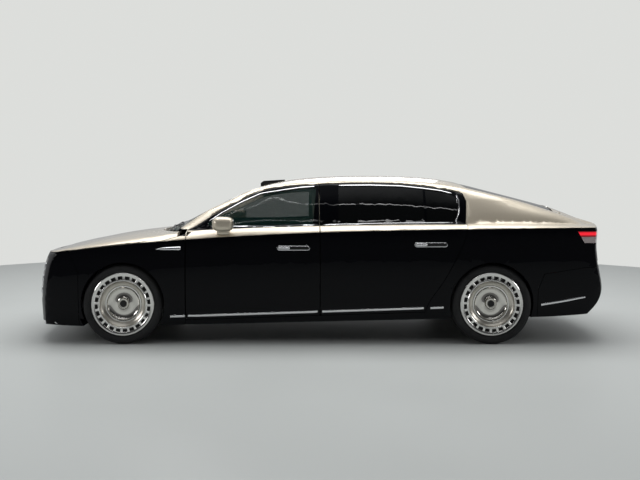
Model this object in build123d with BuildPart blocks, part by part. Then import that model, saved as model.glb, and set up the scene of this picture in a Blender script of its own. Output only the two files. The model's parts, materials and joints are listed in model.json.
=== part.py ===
from build123d import *
import os
from math import cos, radians, sin, tan

os.makedirs("parts", exist_ok=True)

# ---------------------------------------------------------------- driving dimensions, mm
# Origin on the ground under the middle of the car, +Z up, nose toward -X, left side toward -Y.
length = 5480.0
body_width = 2000.0
height = 1540.0
wheelbase = 3370.0
front_overhang = 915.0

tyre_radius = 365.0
tyre_width = 265.0
rim_radius = 288.0
wheel_outer_y = 970.0
arch_radius = 382.0
well_radius = 416.0
wheel_skin = 62.0

shut_gap = 5.0
panel_gap = 4.0
seat_clearance = 0.3

fender_thickness = 30.0
side_thickness = 46.0
roof_thickness = 40.0
door_thickness = 60.0
seal_gap = 10.0
pillar_depth = 44.0
flange_width = 36.0
aperture_margin = 64.0
sill_depth = 150.0
glass_inset = 4.0
glass_thickness = 5.0

front_door_length = 1223.0
hinge_line_gap = 9.0
hinge_gap = 12.0
hinge_setback = 36.0
hinge_y = 975.0
hinge_heights = (520.0, 820.0)
hinge_pin_radius = 4.5
hinge_eye_radius = 8.0
hinge_plate = 18.0
hinge_reach = 70.0
pin_clearance = 0.3

# ---------------------------------------------------------------- places that follow from them
half_width = body_width / 2
x_nose = -length / 2
x_tail = length / 2
x_front = x_nose + front_overhang
x_rear = x_front + wheelbase
wheel_y = wheel_outer_y - tyre_width / 2
x_door_front = x_front + 579
x_door_split = x_door_front + front_door_length
x_door_rear = x_rear - 214


def metres_from_middle(x):
    """Distance behind the middle of the wheelbase, in metres, moved to the datum of the two body curves."""
    return (x - (x_front + x_rear) / 2 - 140) / 1000


def shoulder_z(x):
    """Height of the shoulder crease that runs from the nose to the tail lamps."""
    m = metres_from_middle(x)
    return 1022.5 + 33.7 * m - 12.26 * m**2 + 2.2 * m**3


def belt_z(x):
    """Height of the belt line under the side windows."""
    m = metres_from_middle(x)
    return 1081.0 + 24.0 * m - 11.5 * m**2


# ---------------------------------------------------------------- body surfaces
# Lower body: station, half width at the crease, underside, ledge above the crease, crown on the centreline.
lower_stations = [
    (x_nose - 60, half_width - 150, 215, 790, 778),
    (x_nose + 200, half_width - 80, 172, 832, 832),
    (x_nose + 440, half_width - 45, 162, 876, 892),
    (x_front, half_width - 28, 165, 948, 980),
    (x_front + 330, half_width - 24, 172, 990, 1010),
    (x_front + 750, half_width - 21, 180, 1044, 1070),
    (x_front + 1500, half_width - 19, 198, 1075, 1110),
    (x_rear - 950, half_width - 18, 218, 1088, 1120),
    (x_rear - 100, half_width - 20, 236, 1093, 1120),
    (x_rear + 450, half_width - 38, 244, 1092, 1120),
    (x_rear + 850, half_width - 74, 262, 1080, 1110),
    (x_tail + 60, half_width - 118, 300, 1060, 1090),
]
sill_tuck = 38.0
facet_run = 78.0

# Cabin: station, half width at the belt, half width and height at the roof rail, height on the centreline.
cabin_stations = [
    (x_front + 265, 880, 860, height - 640, height - 572),
    (x_front + 499, 893, 800, height - 500, height - 445),
    (x_front + 865, 895, 745, height - 274, height - 261),
    (x_front + 1225, 895, 705, height - 118, height - 107),
    (x_front + 1625, 895, 682, height - 70, height - 29),
    (x_front + 2125, 893, 672, height - 54, height - 1),
    (x_rear - 745, 888, 672, height - 60, height - 4),
    (x_rear - 295, 880, 680, height - 106, height - 42),
    (x_rear + 105, 868, 700, height - 196, height - 134),
    (x_rear + 505, 845, 725, height - 312, height - 237),
    (x_rear + 855, 815, 740, height - 430, height - 347),
    (x_tail, 780, 745, height - 520, height - 488),
]
rail_radius = 55.0

# Nose and tail in plan: height and the place of the foremost or rearmost point at that height.
nose_levels = [(60, 40), (200, 12), (330, 2), (450, 0), (560, 8), (660, 22), (760, 50), (860, 105), (980, 190)]
tail_levels = [(120, 230), (250, 145), (350, 52), (480, 2), (620, 18), (780, 42), (920, 49), (1040, 44)]
tail_levels += [(1130, 130), (1240, 250)]
nose_sweep = 430.0
tail_sweep = 400.0


def mirrored(point):
    return (-point[0], point[1])


def lower_hull(inset):
    """Solid of the lower body, drawn in by the inset on every side."""
    with BuildPart() as hull:
        for x, w, underside, ledge_height, crown_height in lower_stations:
            crease = (w - inset, shoulder_z(x) - 0.3 * inset)
            bottom = (w - sill_tuck - inset, underside + inset)
            rise = crease[1] - bottom[1]
            ledge = (w - facet_run - inset, ledge_height - inset)
            crown = crown_height - inset
            facet = (w - 0.35 * facet_run - inset, crease[1] + 0.6 * (ledge[1] - crease[1]))
            low_side = (w + 8 - inset, bottom[1] + 0.3 * rise)
            high_side = (w + 38 - inset, bottom[1] + 0.66 * rise)
            shelf = (0.6 * ledge[0], ledge[1] + 0.9 * (crown - ledge[1]))
            with BuildSketch(Plane.YZ.offset(x)):
                with BuildLine():
                    Line(mirrored(bottom), bottom)
                    Bezier(bottom, low_side, high_side, crease)
                    Bezier(crease, facet, ledge)
                    Bezier(ledge, shelf, (0, crown), mirrored(shelf), mirrored(ledge))
                    Bezier(mirrored(ledge), mirrored(facet), mirrored(crease))
                    Bezier(mirrored(crease), mirrored(high_side), mirrored(low_side), mirrored(bottom))
                make_face()
        loft()
    return hull.part


def cabin_hull(inset):
    """Solid of the cabin from below the belt to the roof, drawn in by the inset."""
    with BuildPart() as hull:
        for x, belt_half, rail_half, rail_height, roof_height in cabin_stations:
            foot = Vector(belt_half - inset, shoulder_z(x) - 240)
            rail = Vector(rail_half - inset, rail_height - inset)
            belt = Vector(belt_half + 14 - inset, min(belt_z(x), rail_height - 60))
            lean = (rail - belt).normalized()
            side_end = rail - lean * rail_radius
            low_side = Vector(belt_half + 10 - inset, belt.Y - 40)
            high_side = side_end - lean * 0.42 * (side_end - belt).length
            roof_control = Vector(0.5 * rail.X, (16 * (roof_height - inset) - 2 * rail.Y) / 14)
            roof_lean = (roof_control - rail).normalized()
            roof_start = rail + roof_lean * rail_radius
            side = [(p.X, p.Y) for p in (foot, low_side, high_side, side_end)]
            turn = [(p.X, p.Y) for p in (side_end, rail, roof_start)]
            roof = [(p.X, p.Y) for p in (roof_start, roof_control, Vector(0, roof_control.Y))]
            with BuildSketch(Plane.YZ.offset(x)):
                with BuildLine():
                    Line(mirrored(side[0]), side[0])
                    Bezier(*side)
                    Bezier(*turn)
                    Bezier(*roof, mirrored(roof[1]), mirrored(roof[0]))
                    Bezier(*[mirrored(p) for p in reversed(turn)])
                    Bezier(*[mirrored(p) for p in reversed(side)])
                make_face()
        loft()
    return hull.part


def end_hull(levels, sweep, x_end, toward, inset):
    """Solid bounded by the curved face of one end of the car and open over the rest of its length."""
    with BuildPart() as hull:
        for z, setback in levels:
            x = x_end + toward * (setback + inset)
            reach = half_width + 120
            far = x_end + toward * (length + 200)
            edge = x + toward * 0.9 * sweep
            shoulder = x - toward * 0.15 * sweep
            middle = x - toward * 0.1 * sweep
            with BuildSketch(Plane.XY.offset(z)):
                with BuildLine():
                    Bezier((edge, -reach), (shoulder, -800), (middle, 0), (shoulder, 800), (edge, reach))
                    Polyline((edge, reach), (far, reach), (far, -reach), (edge, -reach))
                make_face()
        loft()
        extrude(hull.faces().sort_by(Axis.Z)[-1], amount=height)
    return hull.part


def body_hull(inset):
    """The whole outer form of the car, drawn in by the inset."""
    with BuildPart() as hull:
        add(lower_hull(inset))
        add(cabin_hull(inset))
        add(end_hull(nose_levels, nose_sweep, x_nose, 1, inset), mode=Mode.INTERSECT)
        add(end_hull(tail_levels, tail_sweep, x_tail, -1, inset), mode=Mode.INTERSECT)
    return hull.part


# ---------------------------------------------------------------- outlines in side view (X, Z)
# Side outlines lie on a plane inboard of the roof rail, so that a left prism takes nothing from the middle.
side_plane = Plane.XZ.offset(540)
door_foot = 225.0
door_foot_slope = 0.0325
frame_line = [(-1240, 1036), (-1150, 1084), (-960, 1204), (-775, 1303), (-581, 1390), (-202, 1447)]
frame_line += [(130, 1464), (461, 1468), (745, 1460), (1121, 1417), (1330, 1368)]
trailing_line = [(1352, 1300), (1331, 1094), (1290, 950), (1190, 740), (1075, 540), (985, 410), (937, 296)]


def door_foot_z(x):
    """Height of the lower edge of the doors."""
    return door_foot + door_foot_slope * (x - x_door_front)


def belt_points(x_from, x_to, rise, count=4):
    """Points along the belt line, lifted by the rise."""
    xs = [x_from + (x_to - x_from) * i / count for i in range(count + 1)]
    return [(x, belt_z(x) + rise) for x in xs]


def splined(outline, plane):
    """The same outline with its offset curves turned to splines."""
    with BuildSketch(plane) as smooth:
        for face in outline.sketch_local.faces():
            make_face(face.outer_wire().to_splines().edges())
    return smooth.sketch


def side_opening_outline(gap):
    """Outline of both doors of one side with their window frames, grown by the gap."""
    with BuildSketch(side_plane) as outline:
        with BuildLine():
            Spline(*frame_line)
            Polyline(frame_line[-1], trailing_line[0], trailing_line[1])
            Spline(*trailing_line[1:])
            Polyline(
                trailing_line[-1],
                (x_door_front, door_foot_z(x_door_front)),
                (x_door_front, shoulder_z(x_door_front)),
                frame_line[0],
            )
        make_face()
        if gap:
            offset(amount=gap, kind=Kind.ARC)
    return splined(outline, side_plane)


def door_outline(ahead, behind):
    """Outline of one door, cut from the pair's outline at the shut line between them."""
    with BuildSketch(side_plane) as outline:
        add(side_opening_outline(0))
        with Locations(((ahead + behind) / 2, 900)):
            Rectangle(behind - ahead, 2000, mode=Mode.INTERSECT)
    return outline.sketch


def window_outline(points, shrink):
    """Outline of one side window, drawn in by the clearance of its glass."""
    with BuildSketch(side_plane) as outline:
        with BuildLine():
            Polyline(*points, close=True)
        make_face()
        fillet(outline.vertices(), radius=8)
        if shrink:
            offset(amount=-shrink, kind=Kind.ARC)
    return outline.sketch


front_window = [(-1062, 1078), (-1052, 1104), (-930, 1186), (-750, 1285), (-565, 1366), (-202, 1420)]
front_window += [(-48, 1430), (-84, 1092), (-500, 1078)]
rear_window_side = [(152, 1098), (160, 1438), (461, 1441), (745, 1433), (955, 1412), (955, 1108), (600, 1106)]
quarter_window = [(975, 1108), (975, 1408), (1121, 1389), (1225, 1362), (1272, 1335), (1270, 1240), (1235, 1110)]

# Hood: the side shut line follows the crease and turns up to the corner of the windscreen.
x_hood_turn = x_front + 351
hood_corner = (x_front + 517, 985)
x_bumper_split = x_front - 402
bumper_split_z = 655.0


def hood_outline(gap):
    """Side outline of everything above the hood's shut line, grown by the gap."""
    xs = [x_nose - 40 + (x_hood_turn - x_nose + 40) * i / 6 for i in range(7)]
    with BuildSketch(side_plane) as outline:
        with BuildLine():
            Spline(*[(x, shoulder_z(x) - gap) for x in xs])
            Polyline(
                (x_hood_turn, shoulder_z(x_hood_turn) - gap),
                (hood_corner[0], hood_corner[1] - gap),
                (hood_corner[0] + 60, hood_corner[1] - gap),
                (hood_corner[0] + 60, 1400),
                (x_nose - 40, 1400),
                (x_nose - 40, shoulder_z(x_nose - 40) - gap),
            )
        make_face()
    return outline.sketch


def fender_outline(gap):
    """Side outline of the front fender."""
    top = hood_corner[1] + 60
    with BuildSketch(side_plane) as outline:
        with BuildLine():
            Polyline(
                (x_bumper_split - gap, 100),
                (x_bumper_split - gap, bumper_split_z),
                (x_bumper_split - 95 - gap, bumper_split_z + 190),
                (x_bumper_split - 95 - gap, top),
                (x_door_front - hinge_line_gap + gap, top),
                (x_door_front - hinge_line_gap + gap, 100),
                close=True,
            )
        make_face()
    return outline.sketch


def front_bumper_outline(gap):
    """Side outline of the front bumper, below the hood and ahead of the fenders."""
    with BuildSketch(side_plane) as outline:
        with BuildLine():
            Polyline(
                (x_bumper_split - panel_gap + gap, 60),
                (x_bumper_split - panel_gap + gap, bumper_split_z),
                (x_bumper_split - 95 - panel_gap + gap, bumper_split_z + 190),
                (x_bumper_split - 95 - panel_gap + gap, 1100),
                (x_nose - 40, 1100),
                (x_nose - 40, 60),
                close=True,
            )
        make_face()
    return outline.sketch


x_rear_split = x_rear + 425
rear_split_z = 640.0
lid_foot_z = 700.0


def rear_bumper_outline(gap):
    """Side outline of the rear bumper."""
    with BuildSketch(side_plane) as outline:
        with BuildLine():
            Polyline(
                (x_rear_split - gap, 60),
                (x_rear_split - gap, rear_split_z - 140),
                (x_rear_split + 55 - gap, rear_split_z + gap),
                (x_tail - 330, lid_foot_z - panel_gap + gap),
                (x_tail + 60, lid_foot_z - panel_gap + gap),
                (x_tail + 60, 60),
                close=True,
            )
        make_face()
    return outline.sketch


def plan_region(front, rear, half_front, half_rear, gap):
    """Plan outline between two bowed edges, each given as (x at the side, x in the middle)."""
    a = (front[0] - gap, half_front + gap)
    b = (rear[0] + gap, half_rear + gap)
    with BuildSketch(Plane.XY.offset(lid_foot_z)) as outline:
        with BuildLine():
            Bezier((a[0], -a[1]), (2 * (front[1] - gap) - a[0], 0), a)
            Line(a, b)
            Bezier(b, (2 * (rear[1] + gap) - b[0], 0), (b[0], -b[1]))
            Line((b[0], -b[1]), (a[0], -a[1]))
        make_face()
    return outline.sketch


windscreen_base = (x_front + 515, x_front + 289)
windscreen_head = (x_front + 1255, x_front + 1225)
rear_glass_head = (x_rear - 160, x_rear - 205)
rear_glass_base = (x_rear + 655, x_rear + 690)
lid_front = (x_rear + 668, x_rear + 703)
lid_half = 652.0
cowl_gap = 46.0
screen_half = 760.0
hood_rear = (windscreen_base[0] - 20, windscreen_base[1] - cowl_gap)


def windscreen_plan(gap):
    return plan_region(windscreen_base, windscreen_head, screen_half, 648, gap)


def rear_glass_plan(gap):
    return plan_region(rear_glass_head, rear_glass_base, 612, 640, gap)


def roof_plan(gap):
    return plan_region(windscreen_head, rear_glass_head, 640, 605, gap)


def lid_plan(gap=0.0):
    return plan_region(lid_front, (x_tail + 100, x_tail + 100), lid_half, lid_half, gap)


def hood_plan(gap):
    """Plan outline of the hood, ahead of the bowed edge along the windscreen."""
    side = hood_rear[0] + gap
    reach = half_width + 50
    far = x_nose - 100
    with BuildSketch(Plane.XY.offset(lid_foot_z)) as outline:
        with BuildLine():
            Bezier((side, -screen_half), (2 * (hood_rear[1] + gap) - side, 0), (side, screen_half))
            Polyline((side, screen_half), (side, reach), (far, reach), (far, -reach), (side, -reach), (side, -screen_half))
        make_face()
    return outline.sketch


def side_prism(sketch):
    """The left side of the car, outboard of the side plane, as seen through a side-view outline."""
    with BuildPart() as prism:
        add(sketch)
        extrude(amount=half_width, dir=(0, -1, 0))
    return prism.part


def full_prism(sketch):
    """The whole width of the car as seen through a side-view outline."""
    with BuildPart() as prism:
        add(sketch)
        extrude(amount=2 * half_width, dir=(0, -1, 0), both=True)
    return prism.part


def tall_prism(sketch):
    """The height of the car as seen through a plan outline."""
    with BuildPart() as prism:
        add(sketch)
        extrude(amount=height, dir=(0, 0, 1))
    return prism.part


# ---------------------------------------------------------------- nested forms that the panels are cut from
outer_form = body_hull(0)
fender_form = body_hull(fender_thickness)
side_form = body_hull(side_thickness)
door_form = body_hull(door_thickness)
pillar_form = body_hull(door_thickness + seal_gap)
pillar_inner_form = body_hull(door_thickness + seal_gap + pillar_depth)
glass_form = body_hull(glass_inset)
glass_inner_form = body_hull(glass_inset + glass_thickness)

with BuildPart() as fender_shell:
    add(outer_form)
    add(fender_form, mode=Mode.SUBTRACT)

with BuildPart() as hood_core:
    add(lower_hull(fender_thickness))
    add(end_hull(nose_levels, nose_sweep, x_nose, 1, fender_thickness), mode=Mode.INTERSECT)

with BuildPart() as hood_shell:
    add(lower_hull(0))
    add(end_hull(nose_levels, nose_sweep, x_nose, 1, 0), mode=Mode.INTERSECT)
    add(hood_core.part, mode=Mode.SUBTRACT)

with BuildPart() as side_shell:
    add(outer_form)
    add(side_form, mode=Mode.SUBTRACT)

with BuildPart() as door_shell:
    add(outer_form)
    add(door_form, mode=Mode.SUBTRACT)

with BuildPart() as pillar_shell:
    add(pillar_form)
    add(pillar_inner_form, mode=Mode.SUBTRACT)

with BuildPart() as deep_shell:
    add(outer_form)
    add(pillar_inner_form, mode=Mode.SUBTRACT)

with BuildPart() as glass_shell:
    add(glass_form)
    add(glass_inner_form, mode=Mode.SUBTRACT)
# ---------------------------------------------------------------- end of nested forms


def write(piece, name):
    """Label a finished piece and write its file."""
    piece.part.label = name
    export_step(piece.part, "parts/" + name + ".step", write_pcurves=False)


def across(piece):
    """The same piece on the right side of the car."""
    return mirror(piece.part, about=Plane.XZ, mode=Mode.PRIVATE)


# ---------------------------------------------------------------- hood and nose
hood_pin = (hood_rear[0] - 14, 996.0)
hood_pin_y = 745.0
lid_pin = (lid_front[0] - 110, 1155.0)
lid_pin_y = 590.0
lug_width = 14.0
lug_radius = 9.0


def pin_pocket(pin, y, x_to, foot):
    """Room for a bracket on each side of the car, from behind or ahead of its pin to the open edge."""
    with BuildPart() as pocket:
        with BuildSketch(Plane.XZ.offset(y)):
            with BuildLine():
                Polyline(
                    (pin[0] + (12 if x_to < pin[0] else -12), pin[1] + lug_radius),
                    (x_to, pin[1] + lug_radius),
                    (x_to, foot),
                    (pin[0] + (12 if x_to < pin[0] else -12), foot),
                    close=True,
                )
            make_face()
        extrude(amount=lug_width / 2 + 4, both=True)
        mirror(about=Plane.XZ)
    return pocket.part


def cross_pins(pin, y):
    """A pin along Y on each side of the car."""
    with BuildPart() as pins:
        for side in (-1, 1):
            with Locations((pin[0], side * y, pin[1])):
                Cylinder(hinge_pin_radius - 0.5, lug_width + 12, rotation=(90, 0, 0))
    return pins.part


def cross_bracket(pin, y, foot):
    """Upright bracket on each side of the car with an eye round its pin."""
    with BuildPart() as bracket:
        with BuildSketch(Plane.XZ.offset(y)):
            with Locations(pin):
                Circle(lug_radius - 1)
            with Locations((pin[0], (pin[1] + foot) / 2)):
                Rectangle(2 * lug_radius - 2, pin[1] - foot)
            with Locations(pin):
                Circle(hinge_pin_radius - 0.5 + pin_clearance, mode=Mode.SUBTRACT)
        extrude(amount=lug_width / 2, both=True)
        mirror(about=Plane.XZ)
    return bracket.part


with BuildPart() as hood:
    add(hood_shell.part)
    add(full_prism(hood_outline(-shut_gap)), mode=Mode.INTERSECT)
    add(tall_prism(hood_plan(0)), mode=Mode.INTERSECT)
    add(pin_pocket(hood_pin, hood_pin_y, hood_pin[0] + 60, hood_pin[1] - 80), mode=Mode.SUBTRACT)
    add(cross_pins(hood_pin, hood_pin_y))
write(hood, "hood")

with BuildPart() as cowl:
    add(fender_form)
    add(side_form, mode=Mode.SUBTRACT)
    add(tall_prism(plan_region(hood_rear, windscreen_base, 725, 725, -panel_gap)), mode=Mode.INTERSECT)
write(cowl, "cowl")

with BuildPart() as wheel_room:
    with Locations((x_front, 0, tyre_radius)):
        Cylinder(well_radius, 2 * (half_width - wheel_skin), rotation=(90, 0, 0))

with BuildPart() as front_fender_left:
    add(fender_shell.part)
    add(side_prism(fender_outline(0)), mode=Mode.INTERSECT)
    add(full_prism(hood_outline(0)), mode=Mode.SUBTRACT)
    with Locations((x_front, -half_width, tyre_radius)):
        Cylinder(arch_radius, 1200, rotation=(90, 0, 0), mode=Mode.SUBTRACT)
    add(wheel_room.part, mode=Mode.SUBTRACT)
    with Locations((x_front, 0, 600)):
        Box(3000, 1200, 1200, mode=Mode.SUBTRACT)
write(front_fender_left, "front_fender_left")

with BuildPart() as front_fender_right:
    add(across(front_fender_left))
write(front_fender_right, "front_fender_right")

grille_half = 648.0
grille_low = 365.0
grille_high = 742.0
lamp_inner = 672.0
lamp_outer = 800.0
lamp_low = 398.0
lamp_high = 768.0
intake_half = 640.0
intake_low = 198.0
intake_high = 325.0


def nose_prism(y_from, y_to, z_from, z_to, clearance):
    """The nose as seen through a rectangle in front view, on both sides of the middle."""
    with BuildPart() as prism:
        with BuildSketch(Plane.YZ.offset(x_nose - 50)):
            with Locations(((y_from + y_to) / 2, (z_from + z_to) / 2)):
                Rectangle(y_to - y_from - 2 * clearance, z_to - z_from - 2 * clearance)
            with Locations((-(y_from + y_to) / 2, (z_from + z_to) / 2)):
                Rectangle(y_to - y_from - 2 * clearance, z_to - z_from - 2 * clearance)
        extrude(amount=620)
    return prism.part


with BuildPart() as front_bumper:
    add(fender_shell.part)
    add(full_prism(front_bumper_outline(0)), mode=Mode.INTERSECT)
    add(full_prism(hood_outline(0)), mode=Mode.SUBTRACT)
    add(nose_prism(-grille_half, grille_half, grille_low, grille_high, 0), mode=Mode.SUBTRACT)
    add(nose_prism(lamp_inner, lamp_outer, lamp_low, lamp_high, 0), mode=Mode.SUBTRACT)
    add(nose_prism(-intake_half, intake_half, intake_low, intake_high, 0), mode=Mode.SUBTRACT)
write(front_bumper, "front_bumper")

with BuildPart() as headlamps:
    add(fender_shell.part)
    add(nose_prism(lamp_inner, lamp_outer, lamp_low, lamp_high, seat_clearance), mode=Mode.INTERSECT)
write(headlamps, "headlamps")

with BuildPart() as grille:
    add(fender_shell.part)
    add(nose_prism(-grille_half, grille_half, grille_low, grille_high, seat_clearance), mode=Mode.INTERSECT)
    add(nose_prism(-grille_half + 22, grille_half - 22, grille_low + 18, grille_high - 18, 0), mode=Mode.SUBTRACT)
write(grille, "grille")

# ---------------------------------------------------------------- roof, glass and body sides
with BuildPart() as roof_panel:
    add(side_shell.part)
    add(tall_prism(roof_plan(-panel_gap / 2)), mode=Mode.INTERSECT)
write(roof_panel, "roof_panel")

with BuildPart() as windscreen:
    add(glass_shell.part)
    add(tall_prism(windscreen_plan(-panel_gap / 2)), mode=Mode.INTERSECT)
write(windscreen, "windscreen")

with BuildPart() as rear_glass:
    add(glass_shell.part)
    add(tall_prism(rear_glass_plan(-panel_gap / 2)), mode=Mode.INTERSECT)
write(rear_glass, "rear_window")

lamp_foot = 922.0
lamp_head = 1029.0
lamp_front = x_tail - 400
tail_lamp_depth = 300.0


def tail_lamp_outline(clearance):
    """Side outline of the tail lamp, outboard of the boot lid."""
    c = clearance
    with BuildSketch(side_plane) as outline:
        with BuildLine():
            Polyline(
                (lamp_front + c, lamp_head - c),
                (lamp_front + 60 + c, lamp_foot + c),
                (x_tail + 50, lamp_foot + c),
                (x_tail + 50, lamp_head - c),
                close=True,
            )
        make_face()
    return outline.sketch


with BuildPart() as tail_lamps:
    add(side_shell.part)
    add(side_prism(tail_lamp_outline(seat_clearance)), mode=Mode.INTERSECT)
    add(tall_prism(lid_plan(panel_gap)), mode=Mode.SUBTRACT)
    mirror(about=Plane.XZ)
write(tail_lamps, "tail_lamps")

boot_lamp_low = 985.0

with BuildPart() as boot_lamp_space:
    with BuildSketch(Plane.YZ.offset(x_tail - 150)):
        with Locations((0, (boot_lamp_low + lamp_head) / 2)):
            Rectangle(2 * lid_half - 24, lamp_head - boot_lamp_low)
    extrude(amount=250)

with BuildPart() as boot_lamp:
    add(fender_shell.part)
    add(boot_lamp_space.part, mode=Mode.INTERSECT)
write(boot_lamp, "boot_lamp")

# Each arm of the lid dips behind its pin, so that it passes round the rear edge of the glass as the lid opens.
arm_width = 20.0

with BuildPart() as lid_arms:
    with BuildSketch(Plane.XZ.offset(lid_pin_y + lug_width / 2 + 1)) as arm_side:
        with BuildLine():
            FilletPolyline(
                lid_pin,
                (lid_pin[0] + 62, lid_pin[1] - 104),
                (lid_pin[0] + 150, lid_pin[1] - 96),
                (lid_pin[0] + 176, lid_pin[1] + 36),
                radius=22,
            )
        trace(line_width=arm_width)
        with Locations(lid_pin):
            Circle(arm_width / 2)
    extrude(amount=12)
    with BuildSketch(Plane.XZ.offset(lid_pin_y - lug_width / 2 - 1)):
        with Locations(lid_pin):
            Circle(hinge_pin_radius - 0.5)
    extrude(amount=lug_width + 4)
    mirror(about=Plane.XZ)

# The lid is a thin skin at its edge, so that the edge passes over the glass.
lid_hem_length = 28.0

with BuildPart() as lid_hem:
    add(tall_prism(lid_plan(panel_gap)))
    add(tall_prism(lid_plan(-lid_hem_length)), mode=Mode.SUBTRACT)
    add(glass_inner_form, mode=Mode.INTERSECT)

with BuildPart() as boot_lid:
    add(side_shell.part)
    add(tall_prism(lid_plan(0)), mode=Mode.INTERSECT)
    add(lid_hem.part, mode=Mode.SUBTRACT)
    add(boot_lamp.part, mode=Mode.SUBTRACT)
    add(lid_arms.part)
write(boot_lid, "boot_lid")

with BuildPart() as rear_bumper:
    add(side_shell.part)
    add(full_prism(rear_bumper_outline(0)), mode=Mode.INTERSECT)
write(rear_bumper, "rear_bumper")

# Body side: A-pillar, roof rail, rear pillar, quarter and sill in one, with the door pillars behind the doors.


def aperture(ahead, behind):
    """Clear opening inside the pillars of one door."""
    with BuildSketch(side_plane) as outline:
        add(door_outline(ahead, behind))
        offset(amount=-aperture_margin, kind=Kind.ARC)
    return splined(outline, side_plane)


with BuildSketch(side_plane) as side_outline:
    with Locations((0, 800)):
        Rectangle(length, 1500)
    add(fender_outline(panel_gap), mode=Mode.SUBTRACT)
    add(front_bumper_outline(panel_gap), mode=Mode.SUBTRACT)
    add(rear_bumper_outline(panel_gap), mode=Mode.SUBTRACT)
    add(side_opening_outline(shut_gap), mode=Mode.SUBTRACT)
    add(tail_lamp_outline(0), mode=Mode.SUBTRACT)
    with Locations((x_rear, tyre_radius)):
        Circle(arch_radius, mode=Mode.SUBTRACT)

with BuildSketch(side_plane) as flange_outline:
    add(side_opening_outline(flange_width))
    add(side_opening_outline(shut_gap), mode=Mode.SUBTRACT)
    add(fender_outline(panel_gap), mode=Mode.SUBTRACT)

with BuildSketch(side_plane) as post_outline:
    add(side_opening_outline(flange_width))
    add(aperture(x_door_front - 50, x_door_split), mode=Mode.SUBTRACT)
    add(aperture(x_door_split, x_rear), mode=Mode.SUBTRACT)

with BuildSketch(Plane.XY.offset(lid_foot_z)) as top_outline:
    add(hood_plan(hinge_gap))
    add(plan_region(hood_rear, windscreen_head, screen_half + panel_gap, 648, 0))
    add(roof_plan(0))
    add(rear_glass_plan(0))
    add(plan_region(rear_glass_base, lid_front, 640, 640, panel_gap))
    add(lid_plan(panel_gap))

with BuildPart() as quarter_left:
    add(side_shell.part)
    add(side_prism(side_outline.sketch), mode=Mode.INTERSECT)
    add(tall_prism(top_outline.sketch), mode=Mode.SUBTRACT)
    with Locations((0, 0, 300)):
        Box(2 * length, 2 * (half_width - sill_depth), 900, mode=Mode.SUBTRACT)

with BuildPart() as frame_left:
    add(deep_shell.part)
    add(side_prism(flange_outline.sketch), mode=Mode.INTERSECT)
    add(tall_prism(top_outline.sketch), mode=Mode.SUBTRACT)
    with Locations((0, 0, 300)):
        Box(2 * length, 2 * (half_width - sill_depth), 900, mode=Mode.SUBTRACT)

with BuildPart() as corner_room:
    with Locations((x_door_front + 95, -775, 1030)):
        Box(200, 84, 92)

with BuildPart() as posts_left:
    add(pillar_shell.part)
    add(side_prism(post_outline.sketch), mode=Mode.INTERSECT)
    add(corner_room.part, mode=Mode.SUBTRACT)
    with Locations((windscreen_head[0] - 8, -555, 1428)):
        Box(14, 50, 22, mode=Mode.SUBTRACT)
    with Locations((0, 0, 300)):
        Box(2 * length, 2 * (half_width - sill_depth), 900, mode=Mode.SUBTRACT)

with BuildPart() as door_brackets:
    for x_edge in (x_door_front, x_door_split + hinge_line_gap / 2):
        x_pin = x_edge + hinge_setback
        for z in hinge_heights:
            with BuildSketch(Plane.XY.offset(z - hinge_plate / 2)):
                with Locations((x_pin, -hinge_y)):
                    Circle(hinge_eye_radius)
                with Locations((x_pin, -hinge_y + hinge_reach / 2)):
                    Rectangle(2 * hinge_eye_radius, hinge_reach)
                with Locations((x_pin, -hinge_y)):
                    Circle(hinge_pin_radius + pin_clearance, mode=Mode.SUBTRACT)
            extrude(amount=hinge_plate)

with BuildPart() as body_side_left:
    add(quarter_left.part)
    add(frame_left.part)
    add(posts_left.part)
    add(door_brackets.part)
write(body_side_left, "body_side_left")

with BuildPart() as body_side_right:
    add(across(body_side_left))
write(body_side_right, "body_side_right")

# ---------------------------------------------------------------- doors
def hinge_pocket(x_edge):
    """Room in a door's leading edge for the brackets of its hinges and for its swing past the pillar."""
    x_pin = x_edge + hinge_setback
    with BuildPart() as pocket:
        for z in hinge_heights:
            with BuildSketch(Plane.XY.offset(z - hinge_plate / 2 - 4)):
                with BuildLine():
                    Polyline(
                        (x_edge - 5, -hinge_y - hinge_eye_radius - 1),
                        (x_pin + hinge_eye_radius + 3, -hinge_y - hinge_eye_radius - 1),
                        (x_pin + hinge_eye_radius + 3, -hinge_y + 110),
                        (x_edge - 5, -hinge_y + 110),
                        close=True,
                    )
                make_face()
            extrude(amount=hinge_plate + 8)
        with BuildSketch(Plane.XY.offset(door_foot - 20)):
            with BuildLine():
                Polyline(
                    (x_edge - 5, -hinge_y + 9),
                    (x_edge + 62, -hinge_y + 76),
                    (x_edge + 62, -hinge_y + 140),
                    (x_edge - 5, -hinge_y + 140),
                    close=True,
                )
            make_face()
            with BuildLine():
                Polyline(
                    (x_edge - 5, -half_width + 13),
                    (x_edge + 18, -half_width - 10),
                    (x_edge - 5, -half_width - 10),
                    close=True,
                )
            make_face()
        extrude(amount=1040 - door_foot)
    return pocket.part


def hinge_pins(x_edge):
    """Pins of a door's hinges, held at both ends by the door."""
    with BuildPart() as pins:
        for z in hinge_heights:
            with Locations((x_edge + hinge_setback, -hinge_y, z)):
                Cylinder(hinge_pin_radius, hinge_plate + 12)
    return pins.part


with BuildSketch(Plane.XY.offset(lid_foot_z)) as door_room_outline:
    add(top_outline.sketch)
    offset(amount=shut_gap, kind=Kind.ARC)

with BuildPart() as door_room:
    add(tall_prism(splined(door_room_outline, Plane.XY.offset(lid_foot_z))))
    with Locations((0, 0, 450)):
        Box(2 * length, 2 * (half_width - sill_depth), 900)

hem_length = 15.0

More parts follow.
